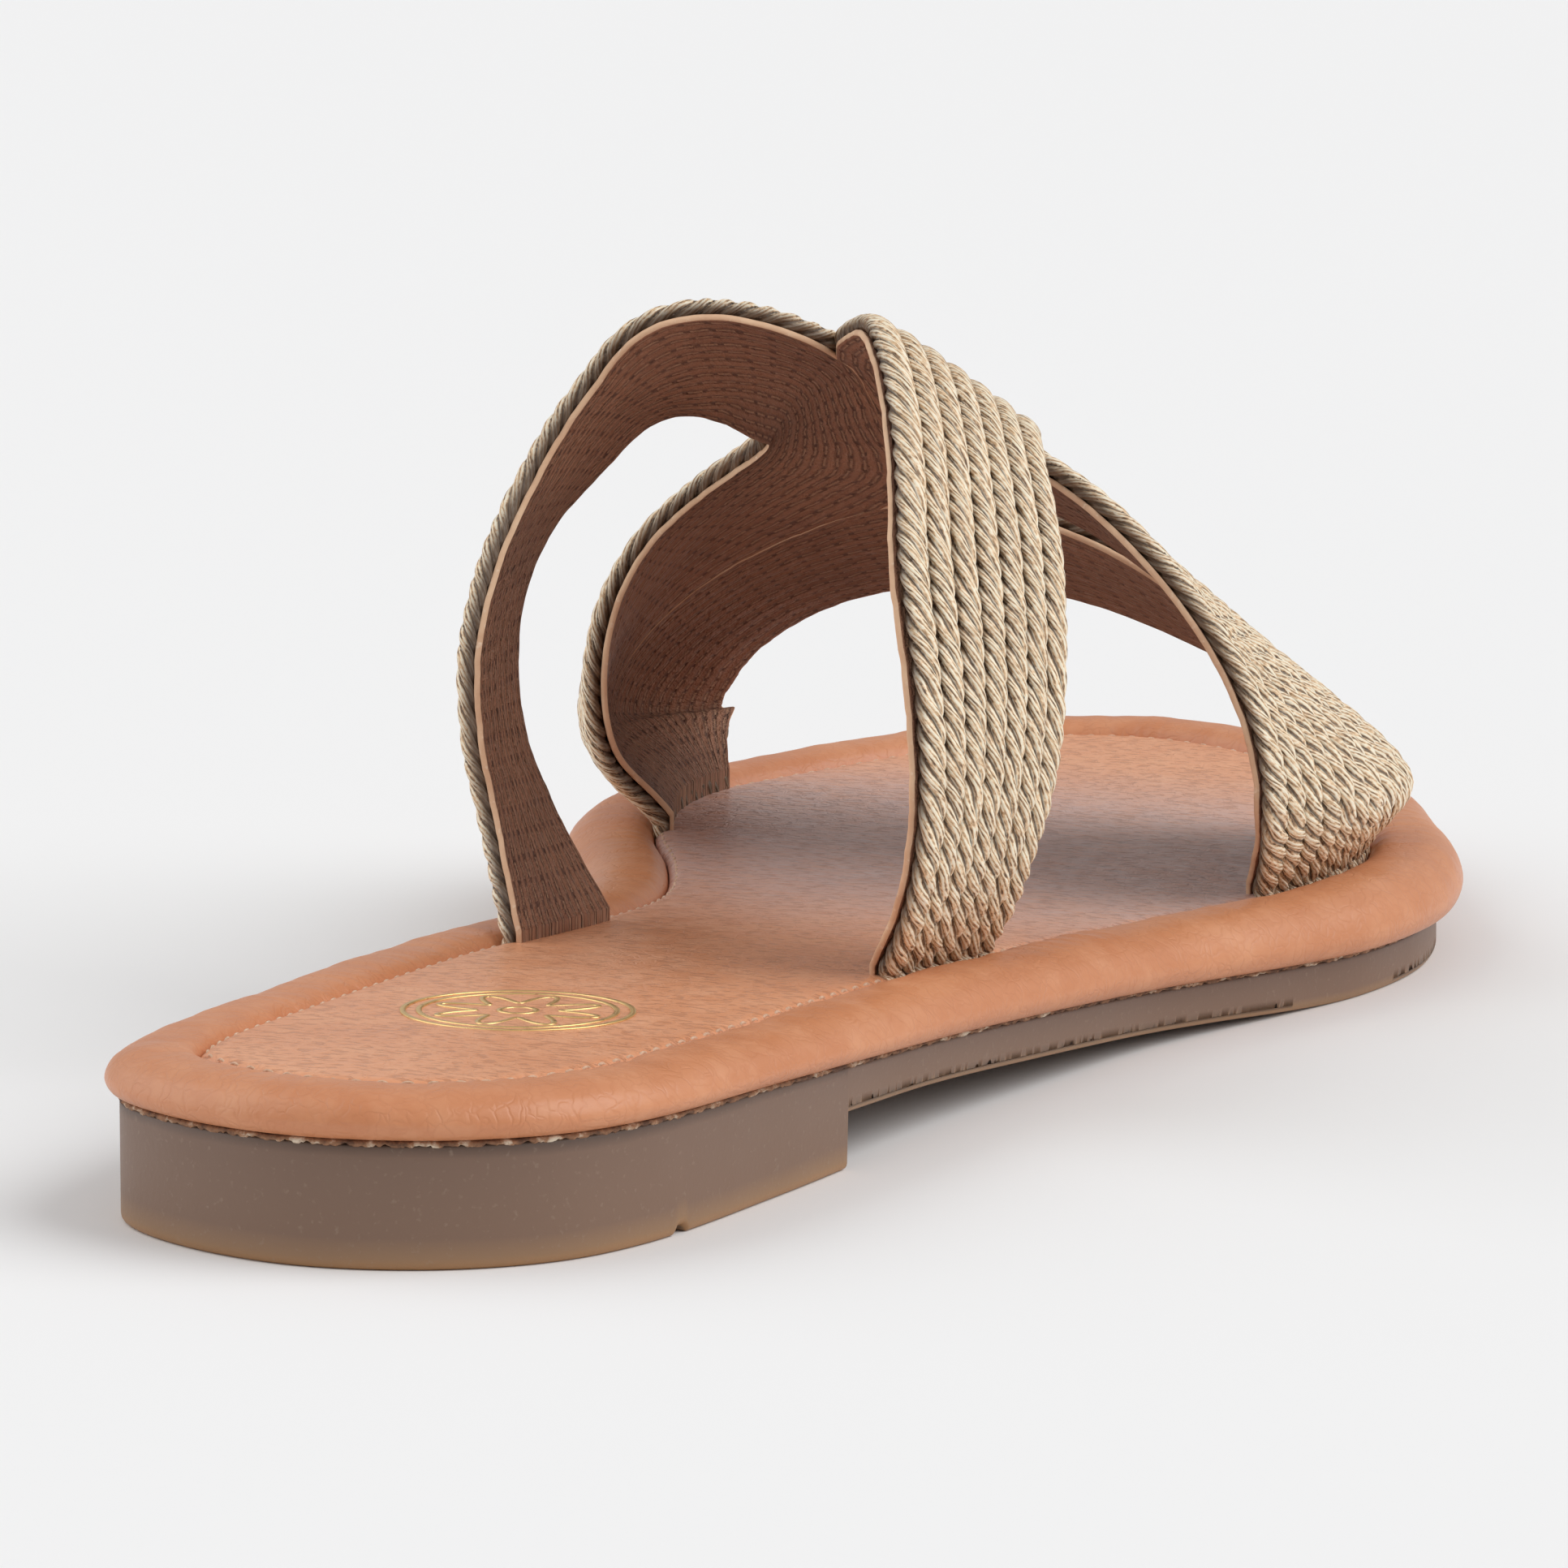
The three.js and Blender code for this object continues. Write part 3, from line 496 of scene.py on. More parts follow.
class Nodes:
    """Writes the node tree of one material."""

    def __init__(self, name: str, roughness: float, metallic: float = 0.0, specular: float = 0.5,
                 sheen: float = 0.0, sheen_roughness: float = 0.5, coat: float = 0.0,
                 coat_roughness: float = 0.3) -> None:
        """Starts a material with its shader.

        Args:
            name: name of the material.
            roughness: roughness of the surface, where nothing is linked to it.
            metallic: metallic share.
            specular: specular level.
            sheen: weight of the sheen.
            sheen_roughness: roughness of the sheen.
            coat: weight of the clear coat.
            coat_roughness: roughness of the clear coat.
        """
        self.material = bpy.data.materials.new(name)
        self.material.use_nodes = True
        self.tree = self.material.node_tree
        self.shader = self.tree.nodes["Principled BSDF"]
        settings = {"Roughness": roughness, "Metallic": metallic, "Specular IOR Level": specular,
                    "Sheen Weight": sheen, "Sheen Roughness": sheen_roughness, "Coat Weight": coat,
                    "Coat Roughness": coat_roughness}
        for socket, value in settings.items():
            self.shader.inputs[socket].default_value = value

    def new(self, kind: str, inputs: dict[str | int, object] | None = None, **settings: object) -> bpy.types.Node:
        """Adds a node.

        Args:
            kind: Blender's name of the node type, without its prefix.
            inputs: values or sockets for its inputs.
            settings: properties of the node.

        Returns:
            The node.
        """
        node = self.tree.nodes.new("ShaderNode" + kind)
        for key, value in settings.items():
            setattr(node, key, value)
        for key, value in (inputs or {}).items():
            self.feed(node.inputs[key], value)
        return node

    def feed(self, socket: bpy.types.NodeSocket, value: object) -> None:
        """Links a socket, or sets its value."""
        if isinstance(value, bpy.types.NodeSocket):
            self.tree.links.new(value, socket)
        else:
            socket.default_value = value

    def place(self, scale: tuple[float, float, float] = (1, 1, 1), uv: bool = False) -> bpy.types.NodeSocket:
        """Object coordinates, or the piece's own UV map, stretched by a scale."""
        if uv:
            source = self.new("UVMap", uv_map="lay").outputs["UV"]
        else:
            source = self.new("TexCoord").outputs["Object"]
        return self.new("Mapping", {"Vector": source, "Scale": scale}).outputs["Vector"]

    def noise(self, vector: bpy.types.NodeSocket, scale: float, detail: float = 4.0,
              roughness: float = 0.55) -> bpy.types.NodeSocket:
        """Cloudy noise between 0 and 1."""
        return self.new("TexNoise", {"Vector": vector, "Scale": scale, "Detail": detail,
                                     "Roughness": roughness}).outputs["Fac"]

    def cells(self, vector: bpy.types.NodeSocket, scale: float, edges: bool = False) -> bpy.types.NodeSocket:
        """Distance to the nearest point of a random set, or to the edge between two cells."""
        feature = "DISTANCE_TO_EDGE" if edges else "F1"
        return self.new("TexVoronoi", {"Vector": vector, "Scale": scale}, feature=feature).outputs["Distance"]

    def math(self, operation: str, a: object, b: object = 0.0, c: object = 0.0) -> bpy.types.NodeSocket:
        """A sum, product or other operation on two or three values."""
        node = self.new("Math", operation=operation)
        for socket, value in zip(node.inputs, (a, b, c)):
            self.feed(socket, value)
        return node.outputs[0]

    def ramp(self, factor: bpy.types.NodeSocket, stops: Sequence[tuple[float, tuple[float, float, float]]]
             ) -> bpy.types.NodeSocket:
        """Colours by factor.

        Args:
            factor: the value that picks the colour.
            stops: (place, colour) pairs, rising.

        Returns:
            The colour socket.
        """
        node = self.new("ValToRGB", {"Fac": factor})
        elements = node.color_ramp.elements
        while len(elements) < len(stops):
            elements.new(1.0)
        for element, (position, colour) in zip(elements, stops):
            element.position = position
            element.color = (*colour, 1.0)
        return node.outputs["Color"]

    def level(self, factor: bpy.types.NodeSocket, low: float, high: float, start: float = 0.0,
              end: float = 1.0) -> bpy.types.NodeSocket:
        """Maps a factor between low and high to start and end, held at both."""
        inputs = {"Value": factor, "From Min": low, "From Max": high, "To Min": start, "To Max": end}
        return self.new("MapRange", inputs).outputs["Result"]

    def mix(self, factor: object, a: object, b: object, blend: str = "MIX") -> bpy.types.NodeSocket:
        """Mixes two colours."""
        node = self.new("Mix", data_type="RGBA", blend_type=blend)
        colours = [(*v, 1.0) if isinstance(v, tuple) else v for v in (a, b)]
        for index, value in zip((0, 6, 7), (factor, *colours)):
            self.feed(node.inputs[index], value)
        return node.outputs[2]

    def bump(self, height: bpy.types.NodeSocket, distance: float, strength: float = 1.0,
             normal: bpy.types.NodeSocket | None = None) -> bpy.types.NodeSocket:
        """Bump of a height field, distance in millimetres, on top of another bump."""
        node = self.new("Bump", {"Height": height, "Distance": distance * METRE, "Strength": strength})
        if normal is not None:
            self.feed(node.inputs["Normal"], normal)
        return node.outputs["Normal"]

    def finished(self, colour: object, roughness: object | None = None,
                 normal: bpy.types.NodeSocket | None = None) -> bpy.types.Material:
        """Links colour, roughness and normal to the shader and returns the material."""
        self.feed(self.shader.inputs["Base Color"], (*colour, 1.0) if isinstance(colour, tuple) else colour)
        if roughness is not None:
            self.feed(self.shader.inputs["Roughness"], roughness)
        if normal is not None:
            self.feed(self.shader.inputs["Normal"], normal)
        return self.material


@dataclass(frozen=True)
class GoldCord:
    """Pale gold thread: fine bright filaments that run along each twisted strand, with painted glints on them,
    painted shade where the strands meet and painted shade on the lower flank of each cord.
    """

    # Painted highlight: colour of the glints on the filaments.
    painted_glint: tuple[float, float, float] = (1.0, 0.91, 0.72)
    light: tuple[float, float, float] = (0.93, 0.66, 0.40)
    middle: tuple[float, float, float] = (0.50, 0.31, 0.165)
    # Painted shade: near-black colour for the gaps between strands and the lower flanks.
    painted_shade: tuple[float, float, float] = (0.085, 0.045, 0.022)
    strands: int = 4
    filaments: int = 4

    def material(self) -> bpy.types.Material:
        """The node tree of the cord."""
        n = Nodes("gold_cord", roughness=0.42, metallic=0.0, specular=0.6)
        uv = n.new("UVMap", uv_map="lay").outputs["UV"]
        frayed = n.noise(self.stretched(n, uv, 9.0, 4.0), 1.0, detail=3.0)
        threads = n.noise(self.stretched(n, uv, 36.0, 7.0), 1.0, detail=4.0, roughness=0.7)
        # Painted glints: bright flecks along the filaments.
        painted_glints = n.noise(self.stretched(n, uv, 22.0, 18.0), 1.0, detail=3.0)
        separate = n.new("SeparateXYZ", {"Vector": uv})
        turn = n.math("ADD", separate.outputs["X"], n.math("MULTIPLY", frayed, 0.05))
        inside = n.math("FRACT", n.math("MULTIPLY", separate.outputs["X"], float(self.strands)))
        crest = n.math("SUBTRACT", 1.0, n.math("MULTIPLY", n.math("ABSOLUTE", n.math("SUBTRACT", inside, 0.5)), 2.0))
        wave = n.math("SINE", n.math("MULTIPLY", turn, 2 * math.pi * self.strands * self.filaments))
        ridge = n.math("MULTIPLY_ADD", wave, 0.5, 0.5)
        tone = n.math("ADD", n.math("MULTIPLY", ridge, 0.16),
                      n.math("ADD", n.math("MULTIPLY", threads, 0.60), n.math("MULTIPLY", painted_glints, 0.40)))
        # Filament tones, from painted shade at the lowest stop to painted glints at the highest.
        base = n.ramp(tone, ((0.42, self.painted_shade), (0.50, self.middle), (0.57, self.light), (0.63, self.painted_glint)))
        # Painted shade: the colour goes nearly black where two strands meet.
        seam = n.level(n.math("ADD", crest, n.math("MULTIPLY", frayed, 0.25)), 0.44, 0.14, 0.0, 0.97)
        shaded = n.mix(seam, base, self.painted_shade)
        # Painted shade: darker on the lower flank of each cord, from the height round the cord in the share
        # attribute.
        height = n.new("Attribute", attribute_name="share").outputs["Fac"]
        lower_flank_shaded = n.mix(n.level(height, 0.78, 0.30, 0.0, 0.92), shaded, self.painted_shade)
        cloud = n.noise(n.place(), 160.0, detail=3.0)
        aged = n.mix(n.level(cloud, 0.45, 0.75, 0.0, 0.15), lower_flank_shaded, (0.50, 0.31, 0.18))
        normal = n.bump(threads, 0.10, normal=n.bump(ridge, 0.06))
        return n.finished(aged, n.level(tone, 0.35, 0.75, 0.55, 0.28), normal)

    @staticmethod
    def stretched(n: Nodes, uv: bpy.types.NodeSocket, around: float, along: float) -> bpy.types.NodeSocket:
        """Texture place scaled round the twist and along the cord."""
        return n.new("Mapping", {"Vector": uv, "Scale": (around, along, 1.0)}).outputs["Vector"]


@dataclass(frozen=True)
class Lining:
    """Brown lining leather with rows of stitches that follow the cords, and painted shade in the grooves that hold
    them.
    """

    colour: tuple[float, float, float] = (0.45, 0.215, 0.125)
    shade: tuple[float, float, float] = (0.31, 0.145, 0.090)

    def material(self) -> bpy.types.Material:
        """The node tree of the lining."""
        n = Nodes("lining_leather", roughness=0.62, specular=0.35)
        uv = n.new("UVMap", uv_map="lay").outputs["UV"]
        separate = n.new("SeparateXYZ", {"Vector": uv})
        sway = n.math("MULTIPLY", n.math("SUBTRACT", n.noise(n.place(), 160.0, detail=2.0), 0.5), 0.30)
        across = n.math("FRACT", n.math("MULTIPLY", n.math("ADD", separate.outputs["X"], sway), 2.0))
        line = n.math("MULTIPLY", n.math("ABSOLUTE", n.math("SUBTRACT", across, 0.5)), 2.0)
        dash = n.math("FRACT", n.math("MULTIPLY", separate.outputs["Y"], 1 / 2.7))
        stitch = n.math("MULTIPLY", n.level(line, 0.26, 0.12), n.level(dash, 0.78, 0.70))
        groove = n.level(line, 0.62, 0.05)
        wrinkle = n.noise(n.new("Mapping", {"Vector": uv, "Scale": (3.0, 0.75, 1.0)}).outputs["Vector"], 1.0,
                          detail=4.0, roughness=0.7)
        grain = n.noise(n.place(), 900.0, detail=5.0)
        cloud = n.noise(n.place(), 70.0, detail=3.0)
        base = n.mix(n.level(cloud, 0.3, 0.7), self.shade, self.colour)
        # Lighter on the raised wrinkles.
        wrinkle_lightened = n.mix(n.level(wrinkle, 0.52, 0.70, 0.0, 0.60), base, (0.52, 0.27, 0.17))
        # Painted shade: near black along the grooves that hold the stitch rows.
        groove_shaded = n.mix(n.math("MULTIPLY", groove, 0.72), wrinkle_lightened, (0.10, 0.042, 0.028))
        threaded = n.mix(n.math("MULTIPLY", stitch, 0.75), groove_shaded, (0.56, 0.31, 0.19))
        height = n.math("SUBTRACT", n.math("MULTIPLY", stitch, 0.5), groove)
        normal = n.bump(wrinkle, 1.3, normal=n.bump(height, 0.32, normal=n.bump(grain, 0.05)))
        return n.finished(threaded, n.level(grain, 0.3, 0.7, 0.46, 0.70), normal)


@dataclass(frozen=True)
class CutEdge:
    """Pale raw edge of the lining leather."""

    colour: tuple[float, float, float] = (0.80, 0.55, 0.36)

    def material(self) -> bpy.types.Material:
        """The node tree of the cut edge."""
        n = Nodes("cut_edge", roughness=0.75, specular=0.3)
        fuzz = n.noise(n.place(), 1300.0, detail=4.0)
        cloud = n.noise(n.place(), 220.0)
        tone = n.mix(n.level(cloud, 0.3, 0.7), (0.66, 0.40, 0.25), self.colour)
        return n.finished(n.mix(n.level(fuzz, 0.6, 0.8), tone, (0.88, 0.70, 0.54)), None, n.bump(fuzz, 0.12))


@dataclass(frozen=True)
class TanLeather:
    """Smooth tan leather with pebble grain and painted shade in its creases; how much grain and gloss, and whether
    it has a painted sheen and painted shade in pressed grooves, depends on the piece.
    """

    name: str = "rim_leather"
    colour: tuple[float, float, float] = (0.68, 0.285, 0.135)
    warm: tuple[float, float, float] = (0.58, 0.215, 0.092)
    pale: tuple[float, float, float] = (0.74, 0.36, 0.195)
    grain_scale: float = 520.0
    grain_depth: float = 0.05
    roughness: float = 0.40
    painted_sheen: float = 0.0
    dashes: float = 0.0

    def material(self) -> bpy.types.Material:
        """The node tree of the leather."""
        n = Nodes(self.name, roughness=self.roughness, specular=0.5, coat=0.12, coat_roughness=0.35)
        place = n.place()
        bent = n.new("MixRGB", {"Fac": 0.006, "Color1": place,
                                "Color2": n.new("TexNoise", {"Vector": place, "Scale": 300.0}).outputs["Color"]},
                     blend_type="ADD").outputs["Color"]
        pebble = n.cells(bent, self.grain_scale, edges=True)
        pores = n.noise(place, self.grain_scale * 2.6, detail=5.0, roughness=0.7)
        cloud = n.noise(place, 34.0, detail=4.0)
        mottle = n.noise(place, 210.0, detail=4.0)
        base = n.mix(n.level(cloud, 0.32, 0.68), self.warm, self.colour)
        base = n.mix(n.level(mottle, 0.45, 0.8, 0.0, 0.55), base, self.pale)
        crease = n.level(pebble, 0.0, 0.16)
        # Painted shade: darker along the creases of the pebble grain.
        toned = n.mix(n.math("MULTIPLY", n.level(pebble, 0.14, 0.0), 0.30), base, self.warm)
        # Painted sheen over the forefoot, where the piece has one.
        if self.painted_sheen > 0:
            toned = self.with_painted_sheen(n, toned, place)
        height = n.math("ADD", n.math("MULTIPLY", crease, 0.7), n.math("MULTIPLY", pores, 0.6))
        if self.dashes > 0:
            toned, height = self.dashed(n, toned, height, place)
        rough = n.level(mottle, 0.3, 0.75, self.roughness - 0.06, self.roughness + 0.12)
        normal = n.bump(height, self.grain_depth, normal=n.bump(n.noise(place, 120.0), 0.10))
        return n.finished(toned, rough, normal)

    def dashed(self, n: Nodes, tone: bpy.types.NodeSocket, height: bpy.types.NodeSocket,
               place: bpy.types.NodeSocket) -> tuple[bpy.types.NodeSocket, bpy.types.NodeSocket]:
        """Presses short grooves across the shoe into the leather, as in a boarded grain, and paints shade into them.

        Args:
            n: the node tree.
            tone: colour so far.
            height: bump height so far.
            place: object coordinates.

        Returns:
            Colour with painted shade in the grooves, and height with the grooves.
        """
        stretched = n.new("Mapping", {"Vector": place, "Scale": (1.0, 0.36, 1.0)}).outputs["Vector"]
        cells = n.noise(stretched, 1700.0, detail=1.5, roughness=0.5)
        groove = n.level(cells, 0.46, 0.36)
        # Painted shade: darker in the pressed grooves.
        dash_shaded = n.mix(n.math("MULTIPLY", groove, 0.42 * self.dashes), tone, (0.33, 0.125, 0.062))
        deeper = n.math("SUBTRACT", height, n.math("MULTIPLY", groove, 2.2 * self.dashes))
        return dash_shaded, deeper

    def with_painted_sheen(self, n: Nodes, tone: bpy.types.NodeSocket, place: bpy.types.NodeSocket) -> bpy.types.NodeSocket:
        """Adds a painted grey-lilac sheen over the forefoot, in fine crosswise streaks, standing in for the
        reflection there.
        """
        streaks = n.noise(n.new("Mapping", {"Vector": place, "Scale": (1.0, 0.16, 1.0)}).outputs["Vector"],
                          1900.0, detail=3.0, roughness=0.7)
        along = n.new("SeparateXYZ", {"Vector": place}).outputs["X"]
        rise = n.new("MapRange", {"Value": along, "From Min": -0.030, "From Max": 0.030},
                     interpolation_type="SMOOTHSTEP").outputs["Result"]
        fall = n.new("MapRange", {"Value": along, "From Min": 0.100, "From Max": 0.062},
                     interpolation_type="SMOOTHSTEP").outputs["Result"]
        amount = n.math("MULTIPLY", n.math("MULTIPLY", rise, fall), n.level(streaks, 0.30, 0.62, 0.35, 1.0))
        return n.mix(n.math("MULTIPLY", amount, self.painted_sheen), tone, (0.62, 0.50, 0.50))


@dataclass(frozen=True)
class MouldedRubber:
    """Brown moulded rubber that turns to translucent amber towards its lower edge, with painted shade that darkens
    its wall towards the top, near black under the rim.
    """

    colour: tuple[float, float, float] = (0.215, 0.128, 0.085)
    upper: tuple[float, float, float] = (0.195, 0.118, 0.082)
    amber: tuple[float, float, float] = (0.40, 0.205, 0.085)

    def material(self) -> bpy.types.Material:
        """The node tree of the rubber."""
        n = Nodes("outsole_rubber", roughness=0.42, specular=0.5)
        share = n.new("Attribute", attribute_name="share").outputs["Fac"]
        place = n.place()
        cloud = n.noise(place, 40.0, detail=4.0)
        speck = n.noise(place, 1500.0, detail=2.0)
        wobble = n.math("ADD", share, n.math("MULTIPLY", n.math("SUBTRACT", cloud, 0.5), 0.10))
        # Painted shade: the wall darkens towards its top and is near black right under the overhanging rim.
        tone = n.ramp(wobble, ((0.0, self.amber), (0.10, (0.30, 0.175, 0.095)), (0.26, self.colour),
                               (0.90, self.upper), (1.0, (0.10, 0.062, 0.045))))
        dusty = n.mix(n.level(speck, 0.62, 0.78, 0.0, 0.30), tone, (0.36, 0.27, 0.20))
        rough = n.level(cloud, 0.3, 0.7, 0.42, 0.56)
        normal = n.bump(speck, 0.03, normal=n.bump(n.noise(place, 260.0), 0.04))
        return n.finished(dusty, rough, normal)


@dataclass(frozen=True)
class GlueLine:
    """Ragged line of glue and raw leather between the rim and the outsole."""

    dark: tuple[float, float, float] = (0.13, 0.065, 0.04)
    fleck: tuple[float, float, float] = (0.72, 0.60, 0.46)

    def material(self) -> bpy.types.Material:
        """The node tree of the glue line."""
        n = Nodes("glue_line", roughness=0.7, specular=0.3)
        place = n.place()
        spots = n.noise(place, 420.0, detail=5.0, roughness=0.65)
        tone = n.ramp(spots, ((0.40, self.dark), (0.54, (0.34, 0.17, 0.09)), (0.66, self.fleck)))
        return n.finished(tone, None, n.bump(spots, 0.3))


@dataclass(frozen=True)
class SeamThread:
    """Light waxed thread."""

    colour: tuple[float, float, float] = (0.74, 0.50, 0.34)

    def material(self) -> bpy.types.Material:
        """The node tree of the thread."""
        n = Nodes("seam_thread", roughness=0.6, sheen=0.3)
        fuzz = n.noise(n.place(), 2400.0, detail=3.0)
        return n.finished(n.mix(n.level(fuzz, 0.35, 0.65), (0.55, 0.33, 0.20), self.colour), None,
                          n.bump(fuzz, 0.06))


@dataclass(frozen=True)
class GoldFoil:
    """Thin gold foil pressed into the leather."""

    colour: tuple[float, float, float] = (0.95, 0.66, 0.28)

    def material(self) -> bpy.types.Material:
        """The node tree of the foil."""
        n = Nodes("gold_foil", roughness=0.32, metallic=0.85)
        wear = n.noise(n.place(), 900.0, detail=4.0)
        return n.finished(n.mix(n.level(wear, 0.62, 0.72), self.colour, (0.60, 0.30, 0.15)),
                          n.level(wear, 0.3, 0.8, 0.25, 0.5), n.bump(wear, 0.03))


@dataclass
class StrapShape:
    """Path of one strap over the form of the foot, as a surface of two parameters."""

    last: Last
    rows: Sequence[Sequence[float]]
    lap: float = 0.3
    steps: int = 40
    sections: Array = field(init=False)
    arc: Array = field(init=False)

    def __post_init__(self) -> None:
        """Works out the smooth run of both edges and the length of the strap's middle line."""
        named = table(STRAP_COLUMNS, self.rows)
        edges = []
        for side in ("near", "far"):
            scaled = np.stack([named[f"{side}_along"], named[f"{side}_round"]], axis=1) * LENGTH
            edges.append(spline(scaled, False, self.steps))
        self.sections = np.hstack(edges)
        middle = self.point(np.linspace(0, 1, len(self.sections)), np.array(0.5), 0.0)
        self.arc = np.concatenate([[0], np.cumsum(np.linalg.norm(np.diff(middle, axis=0), axis=1))])

    def place(self, run: Array, share: Array) -> tuple[Array, Array]:
        """Place along the shoe and round the foot at a run (0 to 1) and a share across the strap."""
        grid = np.linspace(0, 1, len(self.sections))
        near_x, near_t, far_x, far_t = (np.interp(run, grid, self.sections[:, k]) for k in range(4))
        return near_x + (far_x - near_x) * share, (near_t + (far_t - near_t) * share) / LENGTH

    def point(self, run: Array, share: Array, out: Array | float) -> Array:
        """Point at a run and share, a distance out from the crests of the cords."""
        x, turn = self.place(run, share)
        distance = np.asarray(out, float)[..., None] if np.ndim(out) else out
        return self.last.surface(x, turn) + self.last.outward(x, turn) * distance

    def width(self, run: Array) -> Array:
        """Distance between the two edges at a run."""
        near = self.point(run, np.zeros_like(run), 0.0)
        far = self.point(run, np.ones_like(run), 0.0)
        return np.linalg.norm(far - near, axis=-1)

    def length(self) -> float:
        """Length of the strap's middle line."""
        return float(self.arc[-1])


class Strap(Enum):
    """The three straps."""

    LATERAL = "lateral"
    MEDIAL = "medial"
    TOE = "toe"


STRAP_ROWS = {Strap.LATERAL: LATERAL_ROWS, Strap.MEDIAL: MEDIAL_ROWS, Strap.TOE: TOE_ROWS}


@dataclass
class StrapCords:
    """Seven twisted cords side by side on one strap.

    The section of a cord is r(p) = d cos p + sqrt(q q - d d sin2 p) within each strand, p from the middle
    of the strand, and it turns once in every lay.
    """

    shape: StrapShape
    strap: Strap
    lay: float = 10.2
    step: float = 0.50
    around: int = 28
    strands: int = 4
    strand_radius: float = 0.44
    strand_offset: float = 0.56
    half_height: float = 1.2
    most_half_width: float = 1.8
    overhang: float = 0.30

    def build(self, finish: bpy.types.Material) -> bpy.types.Object:
        """Makes all cords of the strap as one piece.

        Args:
            finish: material of the cords.

        Returns:
            The piece.
        """
        writer = MeshWriter()
        for cord in range(CORDS):
            self.add_cord(writer, cord)
        return writer.piece(f"cords_{self.strap.value}", [finish], merge=0.0005)

    def add_cord(self, writer: MeshWriter, cord: int) -> None:
        """Adds one cord to the mesh."""
        seed = 100 * list(Strap).index(self.strap) + cord
        draw = np.random.default_rng(seed)
        middle = (cord + 0.5) / CORDS
        run = np.linspace(0, 1, 1600)
        beyond = self.overhang / self.shape.width(run)
        share = middle + (2 * middle - 1) * beyond
        line = self.shape.point(run, share, np.full_like(run, -self.half_height))
        arc = np.concatenate([[0], np.cumsum(np.linalg.norm(np.diff(line, axis=0), axis=1))])
        count = int(arc[-1] / self.step)
        at = np.interp(np.linspace(0, arc[-1], count), arc, run)
        x, turn = self.shape.place(at, np.interp(at, run, share))
        up = self.shape.last.outward(x, turn)
        centre = self.shape.last.surface(x, turn) - up * self.half_height
        half_width = np.minimum(self.shape.width(at) / CORDS / 2 * 1.05, self.most_half_width)
        centre, up, half_width = self.with_feet(centre, up, half_width)
        along = unit(np.gradient(centre, axis=0))
        side = unit(np.cross(along, up))
        up = unit(np.cross(side, along))
        s = np.concatenate([[0], np.cumsum(np.linalg.norm(np.diff(centre, axis=0), axis=1))])
        lay = self.lay * draw.uniform(0.94, 1.06)
        slack = Noise1D(seed + 7, 40.0)(s) * 0.12
        phase = s / lay + draw.uniform() + slack
        theta = np.linspace(0, 2 * math.pi, self.around + 1)
        twist = theta[None, :] / (2 * math.pi) - phase[:, None]
        radius = self.lobed(twist) * (1 + 0.035 * Noise1D(seed + 3, 9.0)(s))[:, None]
        edge = 1.06 if cord in (0, CORDS - 1) else 1.0
        offset = (side[:, None, :] * (np.cos(theta) * radius)[..., None] * half_width[:, None, None] * edge
                  + up[:, None, :] * (np.sin(theta) * radius)[..., None] * self.half_height)
        points = centre[:, None, :] + offset
        points[0], points[-1] = centre[0], centre[-1]
        uv = np.stack([twist, np.broadcast_to((s / lay)[:, None], twist.shape) + 3.7 * cord], axis=-1)
        height = np.broadcast_to(0.5 + 0.5 * np.sin(theta[:-1]), points[:, :-1, 0].shape)
        writer.grid(points[:, :-1], wrap_columns=True, uv=uv, share=height)

    def lobed(self, twist: Array) -> Array:
        """Radius of the twisted section, as a share of the cord's half width."""
        within = (twist * self.strands) % 1.0 - 0.5
        angle = within * 2 * math.pi / self.strands
        reach = np.maximum(self.strand_radius**2 - (self.strand_offset * np.sin(angle)) ** 2, 0)
        return self.strand_offset * np.cos(angle) + np.sqrt(reach)

    def with_feet(self, centre: Array, up: Array, width: Array) -> tuple[Array, Array, Array]:
        """Runs both ends of a cord straight down below the seam."""
        drop = np.arange(self.step, FOOT_DEPTH, self.step)[:, None] * np.array([[0, 0, -1.0]])
        first, last = centre[0] + drop[::-1], centre[-1] + drop
        ends = len(drop)
        centre = np.vstack([first, centre, last])
        up = np.vstack([np.repeat(up[:1], ends, 0), up, np.repeat(up[-1:], ends, 0)])
        width = np.concatenate([np.repeat(width[:1], ends), width, np.repeat(width[-1:], ends)])
        return centre, up, width


